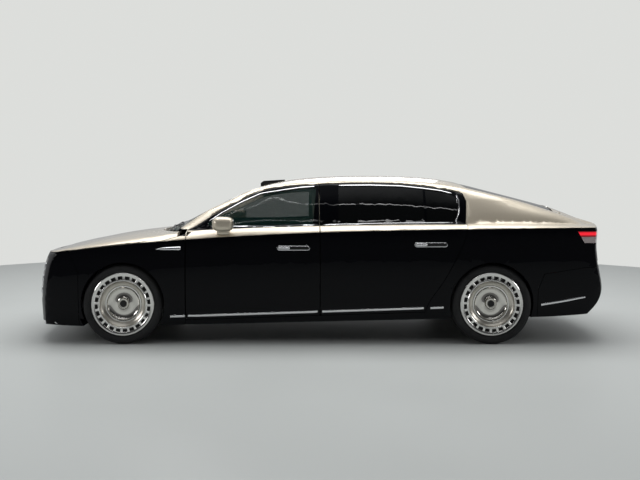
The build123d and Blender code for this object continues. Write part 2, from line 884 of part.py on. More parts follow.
with BuildPart() as door_hem:
    with Locations((x_door_split - hinge_line_gap / 2, -half_width / 2, height / 2)):
        Box(2 * hem_length, half_width, height)
    add(glass_inner_form, mode=Mode.INTERSECT)

with BuildSketch(side_plane) as trailing_outline:
    add(door_outline(x_door_split + hinge_line_gap / 2, x_rear))
    with Locations((-hem_length - 3, 0)):
        add(door_outline(x_door_split + hinge_line_gap / 2, x_rear), mode=Mode.SUBTRACT)

with BuildPart() as rear_door_hem:
    add(side_prism(trailing_outline.sketch))
    add(glass_inner_form, mode=Mode.INTERSECT)

with BuildPart() as front_door_left:
    add(door_shell.part)
    add(side_prism(door_outline(x_door_front - 60, x_door_split - hinge_line_gap / 2)), mode=Mode.INTERSECT)
    add(side_prism(window_outline(front_window, 0)), mode=Mode.SUBTRACT)
    add(door_room.part, mode=Mode.SUBTRACT)
    add(door_hem.part, mode=Mode.SUBTRACT)
    add(hinge_pocket(x_door_front), mode=Mode.SUBTRACT)
    add(hinge_pins(x_door_front))
write(front_door_left, "front_door_left")

with BuildPart() as front_door_right:
    add(across(front_door_left))
write(front_door_right, "front_door_right")

with BuildPart() as rear_door_left:
    add(door_shell.part)
    add(side_prism(door_outline(x_door_split + hinge_line_gap / 2, x_rear)), clean=False, mode=Mode.INTERSECT)
    add(side_prism(window_outline(rear_window_side, 0)), mode=Mode.SUBTRACT)
    add(side_prism(window_outline(quarter_window, 0)), mode=Mode.SUBTRACT)
    add(door_room.part, mode=Mode.SUBTRACT)
    add(rear_door_hem.part, mode=Mode.SUBTRACT)
    add(hinge_pocket(x_door_split + hinge_line_gap / 2), mode=Mode.SUBTRACT)
    add(hinge_pins(x_door_split + hinge_line_gap / 2))
write(rear_door_left, "rear_door_left")

with BuildPart() as rear_door_right:
    add(across(rear_door_left))
write(rear_door_right, "rear_door_right")

with BuildPart() as front_glass_left:
    add(glass_shell.part)
    add(side_prism(window_outline(front_window, seat_clearance)), mode=Mode.INTERSECT)
write(front_glass_left, "front_door_glass_left")

with BuildPart() as front_glass_right:
    add(across(front_glass_left))
write(front_glass_right, "front_door_glass_right")

with BuildPart() as rear_glass_left:
    add(glass_shell.part)
    add(side_prism(window_outline(rear_window_side, seat_clearance)), mode=Mode.INTERSECT)

with BuildPart() as quarter_glass_left:
    add(glass_shell.part)
    add(side_prism(window_outline(quarter_window, seat_clearance)), mode=Mode.INTERSECT)

with BuildPart() as rear_glasses_left:
    add(rear_glass_left.part)
    add(quarter_glass_left.part)
write(rear_glasses_left, "rear_door_glass_left")

with BuildPart() as rear_glasses_right:
    add(across(rear_glasses_left))
write(rear_glasses_right, "rear_door_glass_right")

# ---------------------------------------------------------------- wheels
tread_half = 104.0
bead_radius = 276.0
flange_y = 115.0
lip_y = 127.0
hub_bore = 28.5
spindle_radius = 28.0
disc_radius = 195.0
window_count = 24
window_inner = 225.0
window_outer = 256.0
window_width = 26.0
half_tyre = tyre_width / 2

with BuildPart() as tyre_form:
    with BuildSketch(Plane.XY):
        with BuildLine():
            Polyline(
                (bead_radius + seat_clearance, -flange_y + seat_clearance),
                (rim_radius + seat_clearance, -flange_y + seat_clearance),
                (rim_radius + seat_clearance, -flange_y - 8),
                (rim_radius + 16, -half_tyre + 2),
                (tyre_radius - 36, -half_tyre),
                (tyre_radius - 13, -half_tyre + 8),
                (tyre_radius, -tread_half),
                (tyre_radius, tread_half),
                (tyre_radius - 13, half_tyre - 8),
                (tyre_radius - 36, half_tyre),
                (rim_radius + 16, half_tyre - 2),
                (rim_radius + seat_clearance, flange_y + 8),
                (rim_radius + seat_clearance, flange_y - seat_clearance),
                (bead_radius + seat_clearance, flange_y - seat_clearance),
                close=True,
            )
        make_face()
    revolve(axis=Axis.Y)

with BuildPart() as rim_form:
    with BuildSketch(Plane.XY):
        with BuildLine():
            Polyline((hub_bore, -62), (0, -62), (0, -88), (31, -88), (33, -84), (50, -82), (54, -70))
            Bezier((54, -70), (90, -62), (130, -64), (152, -78))
            Line((152, -78), (165, -82))
            Bezier((165, -82), (190, -94), (205, -106), (213, -118))
            Polyline(
                (213, -118),
                (window_inner, -120),
                (window_outer, -122),
                (rim_radius - 20, -lip_y),
                (rim_radius, -lip_y + 2),
                (rim_radius, -flange_y),
                (bead_radius, -flange_y),
                (bead_radius, flange_y),
                (rim_radius, flange_y),
                (rim_radius, lip_y),
                (rim_radius - 16, lip_y),
                (rim_radius - 28, 96),
                (window_outer + 2, -60),
                (window_outer, -98),
                (window_inner, -98),
            )
            Bezier((window_inner, -98), (190, -74), (165, -60), (130, -44))
            Polyline((130, -44), (80, -36), (80, -28), (disc_radius, -28), (disc_radius, 0), (84, 0), (hub_bore, -20), (hub_bore, -62))
        make_face()
    revolve(axis=Axis.Y)
    with BuildSketch(Plane.XZ.offset(90)):
        with PolarLocations((window_inner + window_outer) / 2, window_count):
            Rectangle(window_outer - window_inner - 4, window_width)
    extrude(amount=50, mode=Mode.SUBTRACT)

wheel_places = [
    ("front_left", x_front, -1),
    ("front_right", x_front, 1),
    ("rear_left", x_rear, -1),
    ("rear_right", x_rear, 1),
]


def wheel_plane(x, side):
    """Plane at a wheel's centre whose local -Y points out of the car."""
    return Plane(origin=(x, side * wheel_y, tyre_radius), x_dir=(-side, 0, 0), z_dir=(0, 0, 1))


for place, x, side in wheel_places:
    with BuildPart(wheel_plane(x, side)) as tyre:
        add(tyre_form.part)
    write(tyre, "tyre_" + place)
    with BuildPart(wheel_plane(x, side)) as rim:
        add(rim_form.part)
    write(rim, "rim_" + place)

# ---------------------------------------------------------------- steering knuckles and suspension
kingpin_y = 790.0
kingpin_in = wheel_y - kingpin_y
knuckle_foot = tyre_radius - 137
knuckle_head = tyre_radius + 155
knuckle_radius = 28.0

with BuildPart() as knuckle_form:
    with Locations((0, kingpin_in, (knuckle_foot + knuckle_head) / 2 - tyre_radius)):
        Cylinder(knuckle_radius, knuckle_head - knuckle_foot)
    with BuildSketch(Plane.XZ.offset(-kingpin_in)):
        Circle(spindle_radius)
    extrude(amount=kingpin_in + 60)
    with BuildSketch(Plane.XZ.offset(-kingpin_in - 20)):
        Circle(62)
    extrude(amount=18)
    with BuildSketch(Plane.XZ.offset(-kingpin_in - 4)):
        with Locations((172, 0)):
            Rectangle(72, 130)
    extrude(amount=kingpin_in + 38)
    with BuildSketch(Plane.XZ.offset(-kingpin_in - 4)):
        with Locations((80, 0)):
            Rectangle(140, 40)
    extrude(amount=kingpin_in - 6)
    with BuildSketch(Plane.XZ.offset(-3)):
        Circle(disc_radius + 4)
    extrude(amount=35, mode=Mode.SUBTRACT)
    with BuildSketch(Plane.XZ.offset(-kingpin_in)):
        Circle(spindle_radius)
    extrude(amount=kingpin_in + 60)

for place, x, side in wheel_places[:2]:
    with BuildPart(wheel_plane(x, side)) as knuckle:
        add(knuckle_form.part)
    write(knuckle, "knuckle_" + place)

# ---------------------------------------------------------------- floor, wheel arches and running gear
plate = 14.0
floor_z = 264.0
damper_radius = 38.0
damper_y = 575.0
tower_z = 800.0
liner_gap = 6.0
liner_thickness = 6.0
front_bay_y = 512.0
rear_bay_y = 688.0

with BuildPart() as wheel_spaces:
    for side in (-1, 1):
        with Locations((x_front, side * (front_bay_y + 500), tyre_radius)):
            Cylinder(well_radius + liner_thickness, 1000, rotation=(90, 0, 0))
        with Locations((x_rear, side * (rear_bay_y + 500), tyre_radius)):
            Cylinder(arch_radius + liner_gap + liner_thickness, 1000, rotation=(90, 0, 0))

with BuildPart() as firewall:
    with BuildSketch(Plane.XZ):
        with BuildLine():
            Polyline((x_front + 330, 905), (x_front + 505, 905), (x_front + 520, 390))
        trace(line_width=plate)
    extrude(amount=half_width - sill_depth - seat_clearance, both=True)
    add(pillar_inner_form, mode=Mode.INTERSECT)

with BuildPart() as floor_pan:
    with BuildSketch(Plane.XZ):
        with BuildLine():
            Polyline(
                (x_front + 520, 396),
                (x_front + 520, 360),
                (x_front + 640, floor_z),
                (x_rear - 470, floor_z),
                (x_rear - 400, 420),
                (x_rear + 880, 438),
            )
        trace(line_width=plate)
    extrude(amount=half_width - sill_depth - seat_clearance, both=True)
    add(firewall.part)
    add(wheel_spaces.part, mode=Mode.SUBTRACT)
    add(fender_form, mode=Mode.INTERSECT)
    add(cross_bracket(hood_pin, hood_pin_y, 905))
    add(cross_bracket(lid_pin, lid_pin_y, 440))
write(floor_pan, "floor_pan")

with BuildPart() as liners:
    for side in (-1, 1):
        with Locations((x_front, side * (front_bay_y + half_width) / 2, tyre_radius)):
            Cylinder(well_radius + liner_thickness, half_width - front_bay_y, rotation=(90, 0, 0))
        with Locations((x_rear, side * (rear_bay_y + half_width) / 2, tyre_radius)):
            Cylinder(arch_radius + liner_gap + liner_thickness, half_width - rear_bay_y, rotation=(90, 0, 0))
    for side in (-1, 1):
        with Locations((x_front, side * half_width, tyre_radius)):
            Cylinder(well_radius, 2 * half_width, rotation=(90, 0, 0), mode=Mode.SUBTRACT)
        with Locations((x_rear, side * half_width, tyre_radius)):
            Cylinder(arch_radius + liner_gap, 2 * half_width, rotation=(90, 0, 0), mode=Mode.SUBTRACT)
    with Locations((0, 0, 150)):
        Box(2 * length, 2 * body_width, 300, mode=Mode.SUBTRACT)
    for side in (-1, 1):
        with Locations((x_front, side * damper_y, tower_z)):
            Cylinder(damper_radius + 6, 200, mode=Mode.SUBTRACT)
    add(side_form, mode=Mode.INTERSECT)
write(liners, "wheel_arch_liners")

rail_inner = 400.0
rail_outer = 470.0
arm_z = 205.0
arm_thickness = 20.0
crossmember_z = 260.0
crossmember_height = 150.0

def arm_outline(inner_half, outer_half, y_inner, y_outer):
    """Plan outline of a suspension arm of the left side, broad at the subframe."""
    with BuildSketch(Plane.XY) as outline:
        with BuildLine():
            Polyline(
                (-inner_half, -y_inner),
                (-outer_half, -y_outer),
                (outer_half, -y_outer),
                (inner_half, -y_inner),
                close=True,
            )
        make_face()
    return outline.sketch


with BuildPart() as front_subframe:
    for side in (-1, 1):
        with Locations((x_front - 130, side * (rail_inner + rail_outer) / 2, 380)):
            Box(1260, rail_outer - rail_inner, 100)
        with Locations((x_front - 70, side * (rail_outer + 10), 560)):
            Box(1120, plate, 500)
        with Locations((x_front, side * 560, tower_z)):
            Box(190, 190, plate)
        with Locations((x_front, side * damper_y, (arm_z + tower_z) / 2)):
            Cylinder(damper_radius, tower_z - arm_z)
        with Locations((x_front, side * damper_y, tower_z - 150)):
            Cylinder(damper_radius + 20, 210)
        with Locations((x_front, side * kingpin_y, (arm_z + knuckle_foot) / 2)):
            Cylinder(14, knuckle_foot - seat_clearance - arm_z)
    with Locations((x_front, 0, crossmember_z)):
        Box(230, 2 * rail_outer, crossmember_height)
    with BuildSketch(Plane.XY.offset(arm_z - arm_thickness / 2)):
        with Locations((x_front, 0)):
            add(arm_outline(105, 34, rail_outer - 10, kingpin_y + 24))
        with Locations((x_front, 0)):
            add(mirror(arm_outline(105, 34, rail_outer - 10, kingpin_y + 24), about=Plane.XZ, mode=Mode.PRIVATE))
    extrude(amount=arm_thickness)
    with Locations((x_front - 720, 0, 400)):
        Box(60, 1100, 130)
write(front_subframe, "front_subframe")

with BuildPart() as rear_subframe:
    for side in (-1, 1):
        with Locations((x_rear, side * (rail_inner + rail_outer) / 2, 330)):
            Box(760, rail_outer - rail_inner, 110)
        with Locations((x_rear, side * damper_y, (arm_z + 412) / 2)):
            Cylinder(damper_radius, 412 - arm_z)
        with Locations((x_rear, side * kingpin_y, (arm_z + knuckle_head) / 2)):
            Cylinder(knuckle_radius + 6, knuckle_head - arm_z)
        with Locations((x_rear, side * (rail_outer + kingpin_y) / 2, tyre_radius)):
            Cylinder(24, kingpin_y - rail_outer, rotation=(90, 0, 0))
        with Locations((x_rear, side * (kingpin_y + wheel_y + 60) / 2, tyre_radius)):
            Cylinder(spindle_radius, wheel_y + 60 - kingpin_y, rotation=(90, 0, 0))
    with Locations((x_rear - 330, 0, 300), (x_rear + 330, 0, 300)):
        Box(80, 2 * rail_outer, 90)
    with Locations((x_rear, 0, 330)):
        Cylinder(110, 140)
    with Locations((x_rear, 0, tyre_radius)):
        Cylinder(40, 2 * rail_outer, rotation=(90, 0, 0))
    with BuildSketch(Plane.XY.offset(arm_z - arm_thickness / 2)):
        with Locations((x_rear, 0)):
            add(arm_outline(200, 34, rail_outer - 40, kingpin_y + 24))
        with Locations((x_rear, 0)):
            add(mirror(arm_outline(200, 34, rail_outer - 40, kingpin_y + 24), about=Plane.XZ, mode=Mode.PRIVATE))
    extrude(amount=arm_thickness + 60)
write(rear_subframe, "rear_subframe")

engine_foot = crossmember_z + crossmember_height / 2 + seat_clearance
engine_height = 480.0

with BuildPart() as engine:
    with Locations((x_front + 10, 0, engine_foot + engine_height / 2)):
        Box(700, 560, engine_height)
write(engine, "engine")

with BuildPart() as radiator:
    with Locations((x_front - 640, 0, 530)):
        Box(60, 780, 400)
write(radiator, "radiator")

# ---------------------------------------------------------------- cabin
seat_y = 370.0
wheel_rake = 24.0
steering_x = x_front + 1090
steering_z = 905.0
steering_plane = Plane(
    origin=(steering_x, -seat_y, steering_z), x_dir=(0, 1, 0), z_dir=(cos(radians(wheel_rake)), 0, sin(radians(wheel_rake)))
)
column_radius = 20.0

with BuildPart() as dashboard:
    with BuildSketch(Plane.XZ):
        with BuildLine():
            Polyline(
                (x_front + 545, 860),
                (x_front + 545, 925),
                (x_front + 850, 945),
                (x_front + 905, 900),
                (x_front + 890, 760),
                (x_front + 800, 640),
                (x_front + 640, 600),
                (x_front + 535, 600),
                close=True,
            )
        make_face()
    extrude(amount=half_width, both=True)
    add(pillar_inner_form, mode=Mode.INTERSECT)
    with BuildSketch(steering_plane.offset(-175)):
        Circle(column_radius + 16)
    extrude(amount=-150)
    with BuildSketch(steering_plane.offset(-175)):
        Circle(column_radius + seat_clearance)
    extrude(amount=-40, mode=Mode.SUBTRACT)
write(dashboard, "dashboard")

seat_width = 520.0
front_seat_x = x_front + 1500
seat_floor_z = floor_z + plate / 2 + seat_clearance
seat_z = floor_z + 90
rear_seat_x = x_rear - 640


def seat_profile(x, z, back_height):
    """Side outline of a seat from the front of its cushion to the top of its back."""
    with BuildSketch(Plane.XZ) as outline:
        with BuildLine():
            Polyline(
                (x, z),
                (x + 30, z + 190),
                (x + 400, z + 150),
                (x + 560, z + back_height),
                (x + 680, z + back_height - 30),
                (x + 610, z + 60),
                (x + 560, z),
                close=True,
            )
        make_face()
        fillet(outline.vertices(), radius=24)
    return outline.sketch


with BuildPart() as front_seats:
    for side in (-1, 1):
        with BuildSketch(Plane.XZ.offset(-side * seat_y - seat_width / 2)):
            add(seat_profile(front_seat_x, seat_z, 740))
        extrude(amount=seat_width)
        with Locations((front_seat_x + 635, side * seat_y, seat_z + 780)):
            Box(70, 260, 240)
        with Locations((front_seat_x + 300, side * seat_y, (seat_z + 20 + seat_floor_z) / 2)):
            Box(440, 380, seat_z + 20 - seat_floor_z)
write(front_seats, "front_seats")

with BuildPart() as rear_seats:
    with BuildSketch(Plane.XZ.offset(-600)):
        add(seat_profile(rear_seat_x, 442, 520))
    extrude(amount=1200)
    with Locations((rear_seat_x + 625, -seat_y, 980), (rear_seat_x + 625, seat_y, 980)):
        Box(70, 260, 220)
write(rear_seats, "rear_seats")

with BuildPart() as steering_form:
    Torus(182, 15)
    with BuildSketch(Plane.XY.offset(-10)):
        Circle(62)
        Rectangle(364, 34)
        with Locations((-91, 0)):
            Rectangle(182, 44)
    extrude(amount=20)
    with BuildSketch(Plane.XY.offset(-10)):
        Circle(column_radius)
    extrude(amount=-195)

with BuildPart(steering_plane) as steering_wheel:
    add(steering_form.part)
write(steering_wheel, "steering_wheel")

# ---------------------------------------------------------------- mirrors and roof sensor
with BuildPart() as mirror_left:
    with BuildSketch(Plane.YZ.offset(x_front + 876)):
        with Locations((-1030, 1104)):
            RectangleRounded(190, 126, 50)
    extrude(amount=145)
    fillet(mirror_left.faces().sort_by(Axis.X)[0].edges(), radius=40)
    with BuildSketch(Plane.XY.offset(1000)):
        with Locations((x_front + 900, -960)):
            Rectangle(150, 60)
    extrude(amount=60)
    add(outer_form, mode=Mode.SUBTRACT)
write(mirror_left, "mirror_left")

with BuildPart() as mirror_right:
    add(across(mirror_left))
write(mirror_right, "mirror_right")

with BuildPart() as roof_sensor:
    with BuildSketch(Plane.XZ):
        with BuildLine():
            Polyline(
                (x_front + 1229, 1418),
                (x_front + 1229, 1470),
                (x_front + 1260, 1492),
                (x_front + 1475, 1505),
                (x_front + 1475, 1440),
                close=True,
            )
        make_face()
    extrude(amount=85, both=True)
    add(outer_form, mode=Mode.SUBTRACT)
write(roof_sensor, "roof_sensor")
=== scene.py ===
import json
import math

import bpy
from bpy.props import FloatProperty, FloatVectorProperty, IntProperty, PointerProperty
from mathutils import Matrix, Vector
from mathutils.bvhtree import BVHTree


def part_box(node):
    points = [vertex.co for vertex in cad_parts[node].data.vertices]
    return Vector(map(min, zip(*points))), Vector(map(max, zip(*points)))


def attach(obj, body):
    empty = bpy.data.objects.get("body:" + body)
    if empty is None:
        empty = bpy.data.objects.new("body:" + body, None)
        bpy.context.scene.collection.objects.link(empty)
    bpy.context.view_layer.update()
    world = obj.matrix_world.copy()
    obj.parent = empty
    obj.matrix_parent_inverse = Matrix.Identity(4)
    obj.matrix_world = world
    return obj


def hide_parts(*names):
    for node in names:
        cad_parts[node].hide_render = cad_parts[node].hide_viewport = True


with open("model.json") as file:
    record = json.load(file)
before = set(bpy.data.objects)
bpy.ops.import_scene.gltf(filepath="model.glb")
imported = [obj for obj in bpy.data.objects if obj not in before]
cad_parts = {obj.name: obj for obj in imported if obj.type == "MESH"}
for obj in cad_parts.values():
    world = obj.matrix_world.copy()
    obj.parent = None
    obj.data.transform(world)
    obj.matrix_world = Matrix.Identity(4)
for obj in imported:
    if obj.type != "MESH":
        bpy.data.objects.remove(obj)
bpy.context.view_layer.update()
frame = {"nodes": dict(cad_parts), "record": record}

bl_info = {
    "name": "Two-tone sedan",
    "version": (1, 0, 0),
    "blender": (4, 5, 0),
    "location": "View3D > Sidebar > Sedan",
    "description": "Lacquer, glass, bright trim, wheels and cabin of a long two-tone sedan",
    "category": "Object",
}

SIDES = (("left", -1), ("right", 1))
CORNERS = (("front_left", -1), ("front_right", 1), ("rear_left", -1), ("rear_right", 1))


def middle(node_name):
    """Centre of a node's box."""
    low, high = (Vector(corner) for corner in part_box(node_name))
    return (low + high) / 2


FRONT_WHEEL = middle("tyre_front_left")
REAR_WHEEL = middle("tyre_rear_left")
TYRE_LOW, TYRE_HIGH = (Vector(corner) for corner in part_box("tyre_front_left"))
TYRE_RADIUS = (TYRE_HIGH.z - TYRE_LOW.z) / 2
TYRE_HALF = (TYRE_HIGH.y - TYRE_LOW.y) / 2
AXLE_MIDDLE_X = (FRONT_WHEEL.x + REAR_WHEEL.x) / 2
HALF_WHEELBASE = (REAR_WHEEL.x - FRONT_WHEEL.x) / 2


class SedanFinish(bpy.types.PropertyGroup):
    """Colours of the car."""

    upper_lacquer: FloatVectorProperty(
        name="Upper lacquer", description="Colour above the shoulder crease", subtype="COLOR", size=3,
        min=0, max=1, default=(0.66, 0.59, 0.48),
    )
    lower_lacquer: FloatVectorProperty(
        name="Lower lacquer", description="Colour below the shoulder crease", subtype="COLOR", size=3,
        min=0, max=1, default=(0.0016, 0.0018, 0.0030),
    )
    leather: FloatVectorProperty(
        name="Leather", description="Colour of the seats", subtype="COLOR", size=3,
        min=0, max=1, default=(0.42, 0.33, 0.25),
    )
    rubber: FloatVectorProperty(
        name="Rubber", description="Colour of the tyres", subtype="COLOR", size=3,
        min=0, max=1, default=(0.010, 0.010, 0.011),
    )
    lamp_red: FloatVectorProperty(
        name="Lamp red", description="Colour of the rear lamps", subtype="COLOR", size=3,
        min=0, max=1, default=(0.55, 0.004, 0.012),
    )


class SedanSizes(bpy.types.PropertyGroup):
    """Sizes of the trim, in metres."""

    strip_stand: FloatProperty(
        name="Trim stand", description="How far bright trim stands off the panel", subtype="DISTANCE",
        unit="LENGTH", min=0.001, max=0.01, default=0.004,
    )
    sill_strip_height: FloatProperty(
        name="Sill strip height", description="Height of the bright strip above the sill", subtype="DISTANCE",
        unit="LENGTH", min=0.01, max=0.05, default=0.024,
    )
    grille_bars: IntProperty(
        name="Grille bars", description="Upright bars of the grille", min=20, max=80, default=52,
    )
    intake_ribs: IntProperty(
        name="Intake ribs", description="Level ribs of the lower intake", min=1, max=6, default=3,
    )
    wheel_windows: IntProperty(
        name="Wheel windows", description="Windows round each wheel disc", min=12, max=36, default=24,
    )
    tread_blocks: IntProperty(
        name="Tread blocks", description="Blocks round the tyre in each row", min=48, max=120, default=90,
    )
    groove_depth: FloatProperty(
        name="Groove depth", description="Depth of the tread's grooves", subtype="DISTANCE",
        unit="LENGTH", min=0.003, max=0.01, default=0.007,
    )
    handle_length: FloatProperty(
        name="Handle length", description="Length of the rim round each door handle", subtype="DISTANCE",
        unit="LENGTH", min=0.2, max=0.4, default=0.30,
    )
    handle_height: FloatProperty(
        name="Handle height", description="Height of the rim round each door handle", subtype="DISTANCE",
        unit="LENGTH", min=0.03, max=0.06, default=0.042,
    )
    smooth_angle: FloatProperty(
        name="Smooth angle", description="Edges flatter than this are shaded smooth", subtype="ANGLE",
        unit="ROTATION", min=0.1, max=1.5, default=math.radians(24),
    )


# ------------------------------------------------------------------ materials
def shader(name, base=(0.5, 0.5, 0.5), rough=0.5, metal=0.0, coat=0.0, coat_rough=0.03, alpha=1.0,
           specular=0.5, sheen=0.0, coat_ior=1.5):
    """A principled material with its constants on the shader's own sockets."""
    mat = bpy.data.materials.new(name)
    mat.use_nodes = True
    principled = mat.node_tree.nodes["Principled BSDF"]
    principled.inputs["Base Color"].default_value = (*base, 1)
    principled.inputs["Roughness"].default_value = rough
    principled.inputs["Metallic"].default_value = metal
    principled.inputs["Coat Weight"].default_value = coat
    principled.inputs["Coat Roughness"].default_value = coat_rough
    principled.inputs["Coat IOR"].default_value = coat_ior
    principled.inputs["Alpha"].default_value = alpha
    principled.inputs["Specular IOR Level"].default_value = specular
    principled.inputs["Sheen Weight"].default_value = sheen
    return mat


def node(mat, kind, **values):
    """A new node with its properties set."""
    made = mat.node_tree.nodes.new(kind)
    for key, value in values.items():
        setattr(made, key, value)
    return made


def link(mat, source, target):
    """Joins two sockets."""
    mat.node_tree.links.new(source, target)


def math_node(mat, operation, first, second=None, third=None, clamp=False):
    """The output of a Math node whose inputs are sockets or numbers."""
    made = node(mat, "ShaderNodeMath", operation=operation, use_clamp=clamp)
    for socket, value in zip(made.inputs, (first, second, third)):
        if value is None:
            continue
        if isinstance(value, (int, float)):
            socket.default_value = value
        else:
            link(mat, value, socket)
    return made.outputs[0]


def place(mat):
    """X, Y and Z of the shaded point in the object's own space."""
    coords = node(mat, "ShaderNodeTexCoord")
    parts = node(mat, "ShaderNodeSeparateXYZ")
    link(mat, coords.outputs["Object"], parts.inputs[0])
    return parts.outputs[0], parts.outputs[1], parts.outputs[2]


def noise(mat, scale, detail=2.0, stretch=(1, 1, 1)):
    """Noise on the object's own coordinates."""
    coords = node(mat, "ShaderNodeTexCoord")
    mapping = node(mat, "ShaderNodeMapping")
    mapping.inputs["Scale"].default_value = stretch
    link(mat, coords.outputs["Object"], mapping.inputs["Vector"])
    made = node(mat, "ShaderNodeTexNoise")
    made.inputs["Scale"].default_value = scale
    made.inputs["Detail"].default_value = detail
    link(mat, mapping.outputs[0], made.inputs["Vector"])
    return made.outputs["Fac"]


def spread(mat, value, low, high, to_low=0.0, to_high=1.0):
    """A value mapped from one range to another, held at its ends."""
    made = node(mat, "ShaderNodeMapRange", clamp=True)
    link(mat, value, made.inputs["Value"])
    for socket, number in zip(("From Min", "From Max", "To Min", "To Max"), (low, high, to_low, to_high)):
        made.inputs[socket].default_value = number
    return made.outputs[0]


def mixed(mat, factor, first, second):
    """Two colours mixed by a factor."""
    made = node(mat, "ShaderNodeMix", data_type="RGBA")
    link(mat, factor, made.inputs["Factor"])
    for socket, value in ((made.inputs[6], first), (made.inputs[7], second)):
        if isinstance(value, (tuple, list)):
            socket.default_value = (*value, 1)
        else:
            link(mat, value, socket)
    return made.outputs[2]


def principled_of(mat):
    """The material's shader."""
    return mat.node_tree.nodes["Principled BSDF"]


def bump(mat, height, distance, strength=1.0):
    """Feeds a height to the shader's normal."""
    made = node(mat, "ShaderNodeBump")
    made.inputs["Distance"].default_value = distance
    made.inputs["Strength"].default_value = strength
    link(mat, height, made.inputs["Height"])
    link(mat, made.outputs[0], principled_of(mat).inputs["Normal"])


def roughened(mat, scale, low, high, detail=4.0, stretch=(1, 1, 1), band=(0.3, 0.8)):
    """Varies the shader's roughness between two values."""
    link(mat, spread(mat, noise(mat, scale, detail, stretch), *band, low, high),
         principled_of(mat).inputs["Roughness"])


def shaded(mat, base, scale, dark, light, detail=2.0):
    """A colour that varies a little from place to place."""
    return mixed(mat, spread(mat, noise(mat, scale, detail), 0.3, 0.7), [value * dark for value in base],
                 [min(1.0, value * light) for value in base])


def curve_height(mat, run, terms):
    """Height of a body line at a place along the car, from its polynomial."""
    total = terms[-1]
    for term in reversed(terms[:-1]):
        total = math_node(mat, "MULTIPLY_ADD", total, run, term)
    return total


SHOULDER_TERMS = (1.0225, 0.0337, -0.01226, 0.0022)
SHOULDER_END = 2.28     # behind this the crease runs level
CREASE_BLUR = 0.0006    # half the width over which the paint changes at the crease
BELT_TERMS = (1.081, 0.024, -0.0115)
BELT_EDGE = (-0.0036, -0.0024)
NEVER, ALWAYS = (90.0, 91.0), (-1.0, -0.9)     # heights that put all of a panel below or above the crease


def lacquer(name, zones):
    """Clear-coated paint, dark below the shoulder crease and pale metallic above it, dark again above the belt."""
    finish = bpy.context.scene.sedan_finish
    mat = shader(name, finish.lower_lacquer, rough=0.22, coat=1.0, coat_rough=0.012, specular=0.0, coat_ior=1.36)
    x, _, z = place(mat)
    x = math_node(mat, "MINIMUM", x, SHOULDER_END)
    rise = math_node(mat, "SUBTRACT", z, curve_height(mat, x, SHOULDER_TERMS))
    pale = spread(mat, rise, -CREASE_BLUR, CREASE_BLUR)
    if zones == "door":
        dark = spread(mat, math_node(mat, "SUBTRACT", z, curve_height(mat, x, BELT_TERMS)), *BELT_EDGE)
        pale = math_node(mat, "SUBTRACT", pale, dark, clamp=True)
    if zones == "pale":
        pale = spread(mat, z, *ALWAYS)
    if zones == "dark":
        pale = spread(mat, z, *NEVER)
    tint = shaded(mat, finish.upper_lacquer, 900, 0.92, 1.05, detail=1.0)
    link(mat, mixed(mat, pale, tuple(finish.lower_lacquer), tint), principled_of(mat).inputs["Base Color"])
    link(mat, math_node(mat, "MULTIPLY", pale, 0.55), principled_of(mat).inputs["Metallic"])
    link(mat, spread(mat, pale, 0, 1, 0.42, 1.0), principled_of(mat).inputs["Coat Weight"])
    link(mat, spread(mat, pale, 0, 1, 0.12, 0.36), principled_of(mat).inputs["Roughness"])
    bump(mat, noise(mat, 140, detail=2.0), 0.00002, 0.2)
    return mat


def chrome(name, base=(0.80, 0.80, 0.82), rough=0.06):
    """Polished bright metal with faint handling marks."""
    mat = shader(name, base, rough=rough, metal=1.0)
    roughened(mat, 60, rough * 0.6, rough * 2.0)
    return mat


def glass(name, tint, alpha):
    """Window glass: a tinted pane, faintly smeared, that what is behind it shows through."""
    mat = shader(name, tint, rough=0.0, alpha=alpha)
    roughened(mat, 5.0, 0.0, 0.02, detail=3.0, band=(0.4, 0.8))
    return mat


def moulded(name, base, rough=0.6, grain=700, depth=0.0002):
    """Moulded plastic or coated steel with a fine grain."""
    mat = shader(name, base, rough=rough)
    roughened(mat, 9, rough * 0.85, min(1.0, rough * 1.15), detail=3.0, band=(0.3, 0.7))
    bump(mat, noise(mat, grain, detail=3.0), depth, 0.6)
    return mat


def gloss_plastic(name, base, rough):
    """Gloss plastic with faint wiping marks."""
    mat = shader(name, base, rough=rough, coat=0.8, coat_rough=0.01)
    roughened(mat, 40, rough * 0.6, rough * 1.8, detail=5.0, stretch=(1, 1, 6))
    return mat


def wheel_radius(mat):
    """Distance of the shaded point from its own wheel's axle."""
    x, _, z = place(mat)
    along_car = math_node(mat, "SUBTRACT", math_node(mat, "ABSOLUTE", math_node(mat, "SUBTRACT", x, AXLE_MIDDLE_X)),
                      HALF_WHEELBASE)
    up = math_node(mat, "SUBTRACT", z, TYRE_RADIUS)
    square = math_node(mat, "ADD", math_node(mat, "MULTIPLY", along_car, along_car), math_node(mat, "MULTIPLY", up, up))
    return math_node(mat, "SQRT", square)


DISH_START, DISH_END = (0.168, 0.170), (0.2105, 0.2085)
BOWL_END = (0.153, 0.151)
TURNING_MARKS = 9000.0     # radians of the turning marks' wave to a metre
WALL_START, WALL_END = (0.300, 0.304), (0.352, 0.348)
WALL_RINGS = 1900.0        # radians of the sidewall rings' wave to a metre


